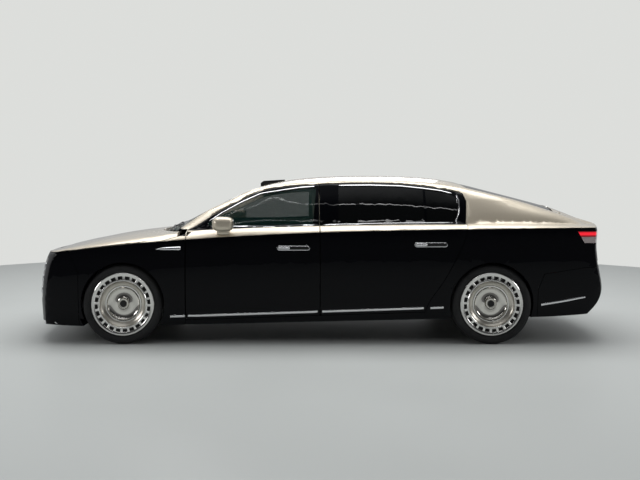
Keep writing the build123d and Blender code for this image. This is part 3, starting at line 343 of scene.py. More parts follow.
def rim_metal(name):
    """Wheel disc: a mirror-bright bowl and rings, a soft champagne dish and fine turning marks."""
    mat = shader(name, (0.62, 0.59, 0.54), rough=0.2, metal=1.0)
    radius = wheel_radius(mat)
    dish = math_node(mat, "MULTIPLY", spread(mat, radius, *DISH_START), spread(mat, radius, *DISH_END))
    bowl = spread(mat, radius, *BOWL_END)
    tint = mixed(mat, dish, (0.74, 0.73, 0.71), (0.60, 0.57, 0.51))
    link(mat, mixed(mat, bowl, tint, (0.66, 0.64, 0.60)), principled_of(mat).inputs["Base Color"])
    rough = math_node(mat, "SUBTRACT", spread(mat, dish, 0, 1, 0.16, 0.30), math_node(mat, "MULTIPLY", bowl, 0.10))
    link(mat, rough, principled_of(mat).inputs["Roughness"])
    turned = math_node(mat, "SINE", math_node(mat, "MULTIPLY", radius, TURNING_MARKS))
    bump(mat, turned, 0.000003, 0.15)
    return mat


def tyre_rubber(name):
    """Rubber with moulded rings on the sidewall and fine scuffing on the tread."""
    mat = shader(name, bpy.context.scene.sedan_finish.rubber, rough=0.62, specular=0.35)
    radius = wheel_radius(mat)
    rings = math_node(mat, "SINE", math_node(mat, "MULTIPLY", radius, WALL_RINGS))
    sidewall = math_node(mat, "MULTIPLY", spread(mat, radius, *WALL_START), spread(mat, radius, *WALL_END))
    grain = math_node(mat, "ADD", math_node(mat, "MULTIPLY", rings, sidewall), noise(mat, 700, detail=3.0))
    bump(mat, grain, 0.0003, 0.7)
    roughened(mat, 12, 0.5, 0.75, band=(0.3, 0.7))
    return mat


def leather(name, base=None):
    """Leather with pebbled grain."""
    base = base or tuple(bpy.context.scene.sedan_finish.leather)
    mat = shader(name, base, rough=0.42, sheen=0.1)
    coords = node(mat, "ShaderNodeTexCoord")
    cells = node(mat, "ShaderNodeTexVoronoi")
    cells.inputs["Scale"].default_value = 520
    link(mat, coords.outputs["Object"], cells.inputs["Vector"])
    link(mat, shaded(mat, base, 7, 0.86, 1.1, detail=4.0), principled_of(mat).inputs["Base Color"])
    bump(mat, cells.outputs["Distance"], 0.0006, 0.5)
    return mat


LAMP_BAR_LOW, LAMP_BAR_HIGH = (0.990, 0.994), (1.021, 1.017)     # heights where the lit bar begins and ends
LAMP_CRYSTAL_TOP = (0.974, 0.980)
LAMP_RIBS = 620.0          # radians of the ribs' wave to a metre


def red_lamp(name):
    """Red lamp moulding with a lit bar near its top and clear ribs below, with their glints and shade painted on as
    pale and dark stripes.
    """
    finish = bpy.context.scene.sedan_finish
    mat = shader(name, finish.lamp_red, rough=0.12, coat=1.0, coat_rough=0.01)
    x, y, z = place(mat)
    bar = math_node(mat, "MULTIPLY", spread(mat, z, *LAMP_BAR_LOW), spread(mat, z, *LAMP_BAR_HIGH))
    ribs = math_node(mat, "SINE", math_node(mat, "MULTIPLY", math_node(mat, "ADD", x, y), LAMP_RIBS))
    low = spread(mat, z, *LAMP_CRYSTAL_TOP)
    # painted highlight and shade: below the bar each clear rib is coloured pale along its crest and dark between, as
    # its glint and shade
    painted_rib_glints = mixed(mat, spread(mat, ribs, -0.6, 0.9), (0.20, 0.12, 0.12), (0.74, 0.70, 0.70))
    link(mat, mixed(mat, low, painted_rib_glints, tuple(finish.lamp_red)), principled_of(mat).inputs["Base Color"])
    link(mat, mixed(mat, bar, (0, 0, 0), (1.0, 0.02, 0.04)), principled_of(mat).inputs["Emission Color"])
    principled_of(mat).inputs["Emission Strength"].default_value = 0.8
    bump(mat, ribs, 0.0006, 0.5)
    return mat


RECIPES = {
    "side lacquer": (lacquer, "side"),
    "door lacquer": (lacquer, "door"),
    "upper lacquer": (lacquer, "pale"),
    "lower lacquer": (lacquer, "dark"),
    "chrome": (chrome,),
    "clear glass": (glass, (0.008, 0.030, 0.026), 0.50),
    "dark glass": (glass, (0.0010, 0.0014, 0.0018), 0.965),
    "lamp glass": (glass, (0.050, 0.040, 0.022), 0.90),
    "black plastic": (moulded, (0.012, 0.012, 0.013), 0.5),
    "gloss black": (gloss_plastic, (0.004, 0.004, 0.005), 0.08),
    "cast metal": (moulded, (0.06, 0.06, 0.062), 0.55, 250, 0.0006),
    "rim metal": (rim_metal,),
    # painted shade: near black for the wheel windows' sunk pockets in place of the dark seen through real openings; the
    # centre cap shares it
    "window shade": (moulded, (0.008, 0.008, 0.008)),
    "tyre rubber": (tyre_rubber,),
    "seat leather": (leather,),
    "dark leather": (leather, (0.03, 0.027, 0.025)),
    "red lamp": (red_lamp,),
    "lens": (chrome, (0.75, 0.76, 0.78), 0.12),
    "mirror": (chrome, (0.86, 0.88, 0.9), 0.01),
}
MATERIALS = {}


def finish_of(name):
    """A material made once and shared."""
    if name not in MATERIALS:
        maker, *values = RECIPES[name]
        MATERIALS[name] = maker(name, *values)
    return MATERIALS[name]


# ------------------------------------------------------------------ modelling helpers
CAD_MERGE, SEAM_MERGE, SPIN_MERGE = 0.00002, 0.00005, 0.00004     # how near points are made one
TRIM_ANGLE = math.radians(50)
TRIM_WALL = 0.0015     # thickness of pressed trim
TRIM_SEAT = 0.0006     # how far the rim of trim lies in the panel under it
OVER_SIDE, OVER_NOSE, OVER_TOP = 1.4, -3.4, 2.2               # where the rays at the car start
SIDE_REACH, NOSE_REACH, TOP_REACH = 0.95, 1.6, 2.0
NEAR_SIDE, NEAR_NOSE, NEAR_TOP = 0.9, -2.7, 1.2               # where a nearest point is sought if a ray misses


def clear_selection():
    """Nothing is selected or active."""
    if bpy.context.object and bpy.context.object.mode != "OBJECT":
        bpy.ops.object.mode_set(mode="OBJECT")
    bpy.ops.object.select_all(action="DESELECT")


def activate(piece):
    """Only this piece is selected and active."""
    clear_selection()
    piece.select_set(True)
    bpy.context.view_layer.objects.active = piece


def pick_faces(piece, wanted):
    """Opens a piece in edit mode with only the wanted faces selected."""
    activate(piece)
    bpy.ops.object.mode_set(mode="EDIT")
    bpy.ops.mesh.select_mode(type="FACE")
    bpy.ops.mesh.select_all(action="DESELECT")
    bpy.ops.object.mode_set(mode="OBJECT")
    for face in piece.data.polygons:
        face.select = wanted(face)
    bpy.ops.object.mode_set(mode="EDIT")


def coat(piece, *materials):
    """Gives a piece its materials, unless it has them already."""
    if list(piece.data.materials) == list(materials):
        return
    piece.data.materials.clear()
    for material in materials:
        piece.data.materials.append(material)


def body_of(node_name):
    """The moving body that a node belongs to."""
    for body, nodes in frame["record"]["behaviour"]["bodies"].items():
        if node_name in nodes:
            return body
    raise RuntimeError("no body holds " + node_name)


def set_place(piece):
    """Applies a piece's place, turn and scale to its mesh."""
    activate(piece)
    bpy.ops.object.transform_apply(location=True, rotation=True, scale=True)


def settle(piece, name, carrier, finish_node, *materials):
    """Names a finished piece, applies its place and lets it ride with the node that carries it."""
    set_place(piece)
    piece.name = name
    piece.data.name = name
    coat(piece, *materials)
    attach(piece, body_of(carrier))
    return piece


def apply_modifiers(piece):
    """Applies every modifier of a piece in turn."""
    activate(piece)
    for modifier in list(piece.modifiers):
        bpy.ops.object.modifier_apply(modifier=modifier.name)


def bevelled(piece, width, segments=2, angle=0.6):
    """Rounds the edges of a piece."""
    bevel = piece.modifiers.new("edges", "BEVEL")
    bevel.width = width
    bevel.segments = segments
    bevel.angle_limit = angle
    apply_modifiers(piece)
    bpy.ops.object.shade_smooth_by_angle(angle=TRIM_ANGLE)


def smooth_copy(node_name, material, angle=None):
    """A smooth-shaded copy of a node that takes its place."""
    source = frame["nodes"][node_name]
    piece = bpy.data.objects.new(node_name + "_skin", source.data.copy())
    bpy.context.scene.collection.objects.link(piece)
    activate(piece)
    bpy.ops.object.mode_set(mode="EDIT")
    bpy.ops.mesh.select_all(action="SELECT")
    bpy.ops.mesh.remove_doubles(threshold=CAD_MERGE)
    bpy.ops.object.mode_set(mode="OBJECT")
    bpy.ops.object.shade_smooth_by_angle(angle=angle or bpy.context.scene.sedan_sizes.smooth_angle)
    weighted = piece.modifiers.new("normals", "WEIGHTED_NORMAL")
    weighted.keep_sharp = True
    weighted.weight = 80
    coat(piece, material)
    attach(piece, body_of(node_name))
    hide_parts(node_name)
    return piece


def dress(node_name, material):
    """A better material on a node that stays as it is."""
    mesh = frame["nodes"][node_name].data
    if mesh.materials:
        for index in range(len(mesh.materials)):
            mesh.materials[index] = material
    else:
        mesh.materials.append(material)


SKINS = {}


def skin_of(*names):
    """A search tree over the faces of some nodes."""
    if names not in SKINS:
        points, faces = [], []
        for name in names:
            mesh = frame["nodes"][name].data
            base = len(points)
            points += [vertex.co.copy() for vertex in mesh.vertices]
            faces += [[base + index for index in face.vertices] for face in mesh.polygons]
        SKINS[names] = BVHTree.FromPolygons(points, faces)
    return SKINS[names]


def on_side(names, side, x, z):
    """The point of the car's side, or of the nearest edge of the named nodes, at a place seen from the side."""
    tree = skin_of(*names)
    hit = tree.ray_cast(Vector((x, side * OVER_SIDE, z)), Vector((0, -side, 0)), SIDE_REACH)[0]
    return hit or tree.find_nearest(Vector((x, side * NEAR_SIDE, z)))[0]


def on_nose(names, y, z):
    """The point of the car's nose at a place seen from the front."""
    tree = skin_of(*names)
    hit = tree.ray_cast(Vector((OVER_NOSE, y, z)), Vector((1, 0, 0)), NOSE_REACH)[0]
    return hit or tree.find_nearest(Vector((NEAR_NOSE, y, z)))[0]


def on_top(names, x, y):
    """The point of the car's top at a place seen from above."""
    tree = skin_of(*names)
    hit = tree.ray_cast(Vector((x, y, OVER_TOP)), Vector((0, 0, -1)), TOP_REACH)[0]
    return hit or tree.find_nearest(Vector((x, y, NEAR_TOP)))[0]


def along(points, share):
    """The point at a share of the way through a list of points."""
    place_in = share * (len(points) - 1)
    index = min(int(place_in), len(points) - 2)
    rest = place_in - index
    return [a + (b - a) * rest for a, b in zip(points[index], points[index + 1])]


def squared(turn, blunt):
    """Cosine and sine of a turn, drawn out towards the corners of a square."""
    return [math.copysign(abs(value) ** blunt, value) for value in (math.cos(turn), math.sin(turn))]


def sheet_of(columns, rows, spot):
    """A grid whose corners go where spot puts them, from how far along and across they lie."""
    clear_selection()
    bpy.ops.mesh.primitive_grid_add(x_subdivisions=columns, y_subdivisions=rows, size=1)
    piece = bpy.context.object
    for vertex in piece.data.vertices:
        vertex.co = spot(vertex.co.x + 0.5, vertex.co.y + 0.5)
    return piece


def wall(piece, way, depth):
    """Joins a grid's seams, turns its faces to look along a way and gives it thickness behind them."""
    activate(piece)
    bpy.ops.object.mode_set(mode="EDIT")
    bpy.ops.mesh.select_all(action="SELECT")
    bpy.ops.mesh.remove_doubles(threshold=SEAM_MERGE)
    bpy.ops.mesh.normals_make_consistent(inside=False)
    bpy.ops.object.mode_set(mode="OBJECT")
    looks = sum((face.normal * face.area for face in piece.data.polygons), Vector())
    if looks.dot(way) < 0:
        bpy.ops.object.mode_set(mode="EDIT")
        bpy.ops.mesh.flip_normals()
        bpy.ops.object.mode_set(mode="OBJECT")
    solid = piece.modifiers.new("thickness", "SOLIDIFY")
    solid.thickness = depth
    solid.offset = -1
    apply_modifiers(piece)
    bpy.ops.object.shade_smooth_by_angle(angle=TRIM_ANGLE)
    return piece


def side_strip(name, names, side, low, high, columns=28, rows=6, stand=None):
    """A crowned bright strip on the car's side between two lines seen from the side."""
    rise = stand or bpy.context.scene.sedan_sizes.strip_stand

    def spot(u, v):
        x, z = (a + (b - a) * v for a, b in zip(along(low, u), along(high, u)))
        crown = (1 - (2 * v - 1) ** 4) * min(1.0, 14 * min(u, 1 - u)) ** 0.5
        return on_side(names, side, x, z) + Vector((0, side * (rise * crown - TRIM_SEAT), 0))

    piece = wall(sheet_of(columns, rows, spot), Vector((0, side, 0)), TRIM_WALL)
    return settle(piece, name, names[0], "grille", finish_of("chrome"))


def pill(name, names, side, centre, length, height, rings, finish="chrome", finish_node="grille"):
    """A pill-shaped fitting on the car's side, from rings given as (inset, stand) from its rim inwards."""
    def spot(u, v):
        inset, rise = along(rings, v)
        radius = max(height / 2 - inset, 0.0)
        straight = (length - height) / 2
        turn = 2 * math.pi * u
        x = radius * math.cos(turn) + math.copysign(straight, math.cos(turn))
        z = radius * math.sin(turn)
        return on_side(names, side, centre[0] + x, centre[1] + z) + Vector((0, side * rise, 0))

    piece = wall(sheet_of(64, len(rings) - 1, spot), Vector((0, side, 0)), TRIM_WALL)
    return settle(piece, name, names[0], finish_node, finish_of(finish))


def joined(pieces):
    """Several like pieces made one."""
    clear_selection()
    for piece in pieces:
        piece.select_set(True)
    bpy.context.view_layer.objects.active = pieces[0]
    bpy.ops.object.join()
    return bpy.context.object


def moved_copy(piece, shift):
    """A copy with its own mesh, moved."""
    copy = bpy.data.objects.new(piece.name, piece.data.copy())
    bpy.context.scene.collection.objects.link(copy)
    copy.data.transform(Matrix.Translation(shift))
    return copy


def block(centre, size):
    """A plain block to be shaped."""
    clear_selection()
    bpy.ops.mesh.primitive_cube_add(size=1, location=centre, scale=size)
    set_place(bpy.context.object)
    return bpy.context.object


def divided_cube(cuts, spot):
    """A cube from -1 to 1, divided, whose points go where spot puts them."""
    clear_selection()
    bpy.ops.mesh.primitive_cube_add(size=2)
    piece = bpy.context.object
    bpy.ops.object.mode_set(mode="EDIT")
    bpy.ops.mesh.select_all(action="SELECT")
    bpy.ops.mesh.subdivide(number_cuts=cuts)
    bpy.ops.object.mode_set(mode="OBJECT")
    for vertex in piece.data.vertices:
        vertex.co = spot(vertex.co.copy())
    return piece


def eased(corner, blunt):
    """A point of a cube drawn in towards an egg, less so the blunter it is."""
    return corner / sum(abs(value) ** blunt for value in corner) ** (1 / blunt)


def extruded(start, size, steps):
    """A rod made from a block whose last face is extruded step by step."""
    rod = block(start, size)
    way = Vector(steps[0]).normalized()
    for face in rod.data.polygons:
        face.select = face.normal.dot(way) > 0.7
    bpy.ops.object.mode_set(mode="EDIT")
    bpy.ops.mesh.select_mode(type="FACE")
    for step in steps:
        bpy.ops.mesh.extrude_region_move(TRANSFORM_OT_translate={"value": step})
    bpy.ops.mesh.select_mode(type="VERT")
    bpy.ops.object.mode_set(mode="OBJECT")
    return rod


def turned(profile, centre, steps):
    """A solid of revolution about a wheel's axle, from its closed profile of (radius, distance outwards)."""
    clear_selection()
    bpy.ops.mesh.primitive_circle_add(vertices=len(profile), radius=1, fill_type="NOTHING")
    piece = bpy.context.object
    for vertex, (radius, out) in zip(piece.data.vertices, profile):
        vertex.co = centre + Vector((radius, -out, 0))
    bpy.ops.object.mode_set(mode="EDIT")
    bpy.ops.mesh.select_all(action="SELECT")
    bpy.ops.mesh.spin(steps=steps, angle=2 * math.pi, center=centre, axis=(0, 1, 0))
    bpy.ops.mesh.select_all(action="SELECT")
    bpy.ops.mesh.remove_doubles(threshold=SPIN_MERGE)
    bpy.ops.mesh.normals_make_consistent(inside=False)
    bpy.ops.object.mode_set(mode="OBJECT")
    return piece


def traced(name, points, radius, carrier):
    """A round black rod along a smooth line."""
    clear_selection()
    bpy.ops.curve.primitive_bezier_curve_add()
    rod = bpy.context.object
    rod.data.splines.clear()
    line = rod.data.splines.new("NURBS")
    line.points.add(len(points) - 1)
    for point, spot in zip(line.points, points):
        point.co = (*spot, 1)
    line.order_u = 3
    line.use_endpoint_u = True
    rod.data.bevel_depth = radius
    rod.data.bevel_resolution = 3
    rod.data.use_fill_caps = True
    bpy.ops.object.convert(target="MESH")
    return settle(bpy.context.object, name, carrier, "cowl", finish_of("black plastic"))


# ------------------------------------------------------------------ panels and glass
class SEDAN_OT_panels(bpy.types.Operator):
    """Lacquers the body panels."""

    bl_idname = "sedan.panels"
    bl_label = "Body panels"

    def execute(self, context):
        for name, finish in (
            ("hood", "upper lacquer"), ("roof_panel", "upper lacquer"), ("body_side_left", "side lacquer"),
            ("body_side_right", "side lacquer"), ("boot_lid", "side lacquer"), ("front_fender_left", "side lacquer"),
            ("front_fender_right", "side lacquer"), ("front_door_left", "door lacquer"),
            ("front_door_right", "door lacquer"), ("rear_door_left", "door lacquer"),
            ("rear_door_right", "door lacquer"), ("front_bumper", "lower lacquer"), ("rear_bumper", "lower lacquer"),
            ("roof_sensor", "gloss black"), ("cowl", "black plastic"),
        ):
            smooth_copy(name, finish_of(finish))
        return {"FINISHED"}


class SEDAN_OT_glazing(bpy.types.Operator):
    """Glazes the windows and the lamps."""

    bl_idname = "sedan.glazing"
    bl_label = "Glass"

    def execute(self, context):
        for name, finish in (
            ("windscreen", "clear glass"), ("front_door_glass_left", "clear glass"),
            ("front_door_glass_right", "clear glass"), ("rear_window", "dark glass"),
            ("rear_door_glass_left", "dark glass"), ("rear_door_glass_right", "dark glass"),
            ("headlamps", "lamp glass"), ("tail_lamps", "red lamp"), ("boot_lamp", "red lamp"),
        ):
            smooth_copy(name, finish_of(finish))
        return {"FINISHED"}


NOSE_SETBACK = ((0.33, 0.002), (0.45, 0.0), (0.56, 0.008), (0.66, 0.022), (0.76, 0.050))     # height, distance
NOSE = ("front_bumper", "grille", "headlamps")
FRAME_INSET, FRAME_FACE, FRAME_SIDE = 0.015, 0.009, 0.024     # from the frame's edge: bar ends, its face, first bar
BEHIND_FACE = 0.022              # from the nose's face back to the middle of a bar or rib
BAR_DEPTH, BAR_WIDTH, BAR_STEPS = 0.020, 0.0095, 9
ROD_EDGE = 0.002                 # rounding of bars and ribs
INTAKE_LOW, INTAKE_HIGH, INTAKE_HALF = 0.198, 0.325, 0.632
INTAKE_EDGE = 0.012              # height over the intake at which its bow is read
RIB_DEPTH, RIB_HEIGHT, RIB_STEPS = 0.024, 0.010, 24
LIP_HALF, LIP_FOOT, LIP_HEIGHT, LIP_STAND, LIP_SEAT = 0.93, 0.176, 0.020, 0.006, 0.001
LENS_Y, LENS_HEIGHTS, LENS_SQUARE, LENS_WALL = 0.735, (0.47, 0.58, 0.69), 0.6, 0.001
LENS_RINGS = ((0.034, 0.0), (0.034, 0.004), (0.028, 0.005), (0.024, 0.001), (0.0, 0.003))     # radius, stand


def setback(z):
    """How far the nose lies behind its foremost line at a height."""
    for (low, start), (high, end) in zip(NOSE_SETBACK, NOSE_SETBACK[1:]):
        if z <= high:
            return start + (end - start) * max(0.0, z - low) / (high - low)
    return NOSE_SETBACK[-1][1]


class SEDAN_OT_grille(bpy.types.Operator):
    """Makes the grille's frame and upright bars, the intake's ribs, the lip under them and the lamps' lenses."""

    bl_idname = "sedan.grille"
    bl_label = "Grille"

    def execute(self, context):
        sizes = context.scene.sedan_sizes
        smooth_copy("grille", finish_of("chrome"))
        self.bars(sizes.grille_bars)
        self.ribs(sizes.intake_ribs)
        self.lip()
        for word, side in SIDES:
            self.lenses(word, side)
        return {"FINISHED"}

    def bars(self, count):
        """Upright bars that follow the nose's height line, each set back with the nose's bow."""
        low, high = (Vector(corner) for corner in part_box("grille"))
        foot, head, face = low.z + FRAME_INSET, high.z - FRAME_INSET, low.z + FRAME_FACE
        rise = (head - foot) / BAR_STEPS
        levels = [foot + rise * index for index in range(BAR_STEPS + 1)]
        start = on_nose(NOSE, 0, face).x
        bar = extruded((start + BEHIND_FACE, 0, foot + rise / 2), (BAR_DEPTH, BAR_WIDTH, rise),
                       [(setback(upper) - setback(lower), 0, rise) for lower, upper in zip(levels[1:], levels[2:])])
        bevelled(bar, ROD_EDGE)
        reach = high.y - FRAME_SIDE
        pitch = 2 * reach / (count + 1)
        places = [(index + 1) * pitch - reach for index in range(count)]
        bars = [moved_copy(bar, Vector((on_nose(NOSE, y, face).x - start, y, 0))) for y in places]
        bpy.data.objects.remove(bar)
        settle(joined(bars), "grille_bars", "front_bumper", "grille", finish_of("chrome"))

    def ribs(self, count):
        """Level ribs of the intake that follow the nose's bow."""
        step = 2 * INTAKE_HALF / RIB_STEPS
        across = [-INTAKE_HALF + step * index for index in range(RIB_STEPS + 1)]
        bow = [on_nose(NOSE, y, INTAKE_HIGH + INTAKE_EDGE).x + BEHIND_FACE for y in across]
        ribs = []
        for index in range(count):
            z = INTAKE_LOW + (INTAKE_HIGH - INTAKE_LOW) * (index + 1) / (count + 1)
            ribs.append(extruded((bow[0], across[0] + step / 2, z), (RIB_DEPTH, step, RIB_HEIGHT),
                                 [(there - here, step, 0) for here, there in zip(bow[1:], bow[2:])]))
            bevelled(ribs[-1], ROD_EDGE)
        settle(joined(ribs), "intake_ribs", "front_bumper", "grille", finish_of("chrome"))

    def lip(self):
        """A crowned bright lip along the foot of the bumper."""
        def spot(u, v):
            crown = 1 - (2 * v - 1) ** 4
            seat = on_nose(("front_bumper",), (2 * u - 1) * LIP_HALF, LIP_FOOT + LIP_HEIGHT * v)
            return seat - Vector((LIP_STAND * crown - LIP_SEAT, 0, 0))

        settle(wall(sheet_of(72, 5, spot), Vector((-1, 0, 0)), TRIM_WALL), "bumper_lip", "front_bumper", "grille",
               finish_of("chrome"))

    def lenses(self, word, side):
        """Three rounded-square lenses, one above another, on a headlamp."""
        lenses = []
        for height in LENS_HEIGHTS:
            def spot(u, v, height=height):
                radius, stand = along(LENS_RINGS, v)
                cosine, sine = squared(2 * math.pi * u, LENS_SQUARE)
                seat = on_nose(("headlamps",), side * LENS_Y + radius * cosine, height + radius * sine)
                return seat - Vector((stand, 0, 0))

            lenses.append(wall(sheet_of(32, 4, spot), Vector((-1, 0, 0)), LENS_WALL))
        settle(joined(lenses), "lamp_lenses_" + word, "headlamps", "headlamps", finish_of("lens"))


SILL_START, SILL_HEIGHT, SILL_SLOPE = -1.392, 0.253, 0.0333
SILL_RUNS = (
    ("front_fender", SILL_START, -1.258), ("front_door", -1.238, -0.036), ("rear_door", -0.010, 0.930),
    ("body_side", 0.985, 1.105),
)
WINDOW_BEADS = (     # the panel, one edge of the bead as (x, z), and from there to its other edge
    ("front_door", ((-1.052, 1.108), (-0.930, 1.190), (-0.750, 1.289), (-0.565, 1.370), (-0.202, 1.424),
                    (-0.060, 1.434)), (0, 0.010)),
    ("rear_door", ((0.150, 1.443), (0.461, 1.446), (0.745, 1.438), (0.965, 1.415), (1.121, 1.394),
                   (1.228, 1.367)), (0, 0.010)),
    ("rear_door", ((1.232, 1.110), (1.262, 1.180), (1.276, 1.245), (1.278, 1.310), (1.262, 1.352)), (0.012, 0.0)),
    ("front_door", ((-1.040, 1.066), (-0.500, 1.068), (-0.060, 1.080)), (0, 0.008)),
    ("rear_door", ((0.005, 1.081), (0.600, 1.094), (1.225, 1.098)), (0, 0.008)),
)
BEAD_STAND, BLADE_STAND = 0.003, 0.007
BLADE_LOW = ((-1.520, 0.869), (-1.470, 0.861), (-1.300, 0.861), (-1.291, 0.866))
BLADE_HIGH = ((-1.520, 0.872), (-1.450, 0.886), (-1.300, 0.893), (-1.291, 0.888))
BUMPER_STRIP_LOW = ((1.998, 0.347), (2.210, 0.379), (2.422, 0.418))
BUMPER_STRIP_HIGH = ((1.998, 0.370), (2.210, 0.401), (2.414, 0.433))


def sill_line(x):
    """Height of the middle of the sill's bright strip."""
    return SILL_HEIGHT + SILL_SLOPE * (x - SILL_START)


class SEDAN_OT_trim(bpy.types.Operator):
    """Makes the bright trim of the sides: sill strips, window beads, fender blades and bumper strips."""

    bl_idname = "sedan.trim"
    bl_label = "Bright trim"

    def execute(self, context):
        half = context.scene.sedan_sizes.sill_strip_height / 2
        for word, side in SIDES:
            for node_name, *ends in SILL_RUNS:
                name = node_name + "_" + word
                side_strip("sill_strip_" + name, (name,), side, [(x, sill_line(x) - half) for x in ends],
                           [(x, sill_line(x) + half) for x in ends])
            for index, (node_name, line, (dx, dz)) in enumerate(WINDOW_BEADS):
                name = node_name + "_" + word
                side_strip("window_bead_%s_%d" % (name, index), (name,), side, line,
                           [(x + dx, z + dz) for x, z in line], columns=36, rows=4, stand=BEAD_STAND)
            side_strip("fender_blade_" + word, ("front_fender_" + word,), side, BLADE_LOW, BLADE_HIGH,
                       columns=30, rows=8, stand=BLADE_STAND)
            side_strip("bumper_strip_" + word, ("rear_bumper",), side, BUMPER_STRIP_LOW, BUMPER_STRIP_HIGH)
        return {"FINISHED"}


HANDLES = (("front_door_", (-0.265, 0.880)), ("rear_door_", (0.985, 0.910)))     # the door, the handle's middle
HANDLE_RIM = ((0.0, -0.0005), (0.0, 0.003), (0.002, 0.005), (0.006, 0.005), (0.008, 0.002), (0.008, 0.0))
HANDLE_PLATE = ((0.0, 0.0006), (0.008, 0.0008), (0.02, 0.0008), (0.03, 0.0008))
HANDLE_GRIP = ((0.0, 0.0), (0.001, 0.004), (0.005, 0.007), (0.015, 0.008), (0.03, 0.008))
PLATE_INSET, GRIP_INSET = 0.014, 0.018           # how much shorter than the rim, over both edges
GRIP_PLACE, GRIP_LENGTH = 0.29, 0.36             # shares of the rim's length


class SEDAN_OT_handles(bpy.types.Operator):
    """Makes the pill-shaped door handles with their rims."""

    bl_idname = "sedan.handles"
    bl_label = "Door handles"

    def execute(self, context):
        sizes = context.scene.sedan_sizes
        length, height = sizes.handle_length, sizes.handle_height
        for word, side in SIDES:
            for door, (x, z) in HANDLES:
                name = door + word
                pill("handle_rim_" + name, (name,), side, (x, z), length, height, HANDLE_RIM)
                pill("handle_plate_" + name, (name,), side, (x, z), length - PLATE_INSET, height - PLATE_INSET,
                     HANDLE_PLATE, "gloss black", "cowl")
                pill("handle_grip_" + name, (name,), side, (x - GRIP_PLACE * length, z), GRIP_LENGTH * length,
                     height - GRIP_INSET, HANDLE_GRIP)
        return {"FINISHED"}


FIN_X, FIN_SIZE, FIN_LIFT = 1.400, (0.110, 0.026, 0.036), 0.008
FIN_TOP_WIDTH, FIN_TOP_LENGTH, FIN_RAKE = 0.35, 0.45, 0.022     # the top against the foot, and how far it leans back
FIN_SINK, FIN_EDGE, FIN_EDGE_ANGLE = 0.008, 0.006, 0.3
WIPERS = (("left", -0.66, 0.02), ("right", -0.02, 0.62))        # where each blade starts and ends across the car
BLADE_X, PIVOT_X = -1.475, -1.520                # on the car's middle line
SCREEN_BOW, SCREEN_HALF = 0.226, 0.76            # the windscreen's foot lies this much further back at this y
BLADE_STEPS, BLADE_LIFT, BLADE_RADIUS, ARM_RADIUS = 8, 0.011, 0.006, 0.0075
PIVOT_SHARE = 0.12                               # how far along the blade the arm's pivot stands
ARM_FOOT, ARM_KNEE, ARM_RISE, ARM_END = (0, 0, 0.004), (0.012, 0, 0.026), (0, 0, 0.016), (0, 0, 0.006)


class SEDAN_OT_roof(bpy.types.Operator):
    """Makes the antenna fin and the wipers."""

    bl_idname = "sedan.roof"
    bl_label = "Fin and wipers"

    def execute(self, context):
        self.fin()
        for word, start, end in WIPERS:
            self.wiper(word, start, end)
        return {"FINISHED"}

    def fin(self):
        """A block drawn in and raked back towards its top."""
        roof = on_top(("roof_panel",), FIN_X, 0)
        fin = block(roof + Vector((0, 0, FIN_LIFT)), FIN_SIZE)
        for vertex in fin.data.vertices:
            if vertex.co.z > roof.z:
                vertex.co.y *= FIN_TOP_WIDTH
                vertex.co.x = FIN_X + (vertex.co.x - FIN_X) * FIN_TOP_LENGTH + FIN_RAKE
            elif vertex.co.x > FIN_X:
                vertex.co.z -= FIN_SINK
        bevelled(fin, FIN_EDGE, 3, FIN_EDGE_ANGLE)
        settle(fin, "antenna_fin", "roof_panel", "cowl", finish_of("gloss black"))

    def wiper(self, word, start, end):
        """A blade along the foot of the windscreen, with the arm that holds it."""
        def bowed(x, y):
            return x + SCREEN_BOW * (y / SCREEN_HALF) ** 2

        spots = []
        for index in range(BLADE_STEPS + 1):
            y = start + (end - start) * index / BLADE_STEPS
            spots.append(on_top(("windscreen",), bowed(BLADE_X, y), y) + Vector((0, 0, BLADE_LIFT)))
        traced("wiper_blade_" + word, spots, BLADE_RADIUS, "windscreen")
        y = start + (end - start) * PIVOT_SHARE
        pivot = on_top(("cowl",), bowed(PIVOT_X, y), y)
        hold = spots[BLADE_STEPS // 2]
        arm = [pivot + Vector(ARM_FOOT), pivot + Vector(ARM_KNEE), (pivot + hold) / 2 + Vector(ARM_RISE),
               hold + Vector(ARM_END)]
        traced("wiper_arm_" + word, arm, ARM_RADIUS, "cowl")


class SEDAN_OT_underbody(bpy.types.Operator):
    """Coats what shows from below and through the arches."""

    bl_idname = "sedan.underbody"
    bl_label = "Underbody"

    def execute(self, context):
        for name in ("floor_pan", "front_subframe", "rear_subframe", "engine", "knuckle_front_left",
                     "knuckle_front_right"):
            dress(name, finish_of("cast metal"))
        dress("wheel_arch_liners", finish_of("black plastic"))
        dress("radiator", finish_of("black plastic"))
        return {"FINISHED"}


# ------------------------------------------------------------------ wheels
RIM_FACE = (
    (0.0, 0.094), (0.027, 0.094), (0.031, 0.090), (0.033, 0.084), (0.037, 0.084), (0.040, 0.092), (0.046, 0.092),
    (0.050, 0.087), (0.053, 0.068), (0.062, 0.062), (0.080, 0.058), (0.100, 0.056), (0.120, 0.0575),
    (0.136, 0.063), (0.146, 0.070), (0.151, 0.076), (0.153, 0.084), (0.158, 0.0865), (0.165, 0.086),
    (0.169, 0.082), (0.178, 0.086), (0.188, 0.0915), (0.198, 0.099), (0.207, 0.110), (0.210, 0.122),
    (0.213, 0.124), (0.219, 0.124), (0.222, 0.121), (0.2255, 0.1205), (0.2565, 0.122), (0.260, 0.1245),
    (0.272, 0.1265), (0.282, 0.127), (0.2865, 0.124), (0.288, 0.118),
)
RIM_BACK = (
    (0.284, 0.104), (0.273, 0.090), (0.270, 0.0), (0.271, -0.095), (0.283, -0.108), (0.287, -0.118),
    (0.280, -0.120), (0.266, -0.110), (0.262, 0.0), (0.260, 0.050), (0.200, 0.046), (0.100, 0.040), (0.0, 0.040),
)
WINDOW_BAND = (0.2255, 0.2565)
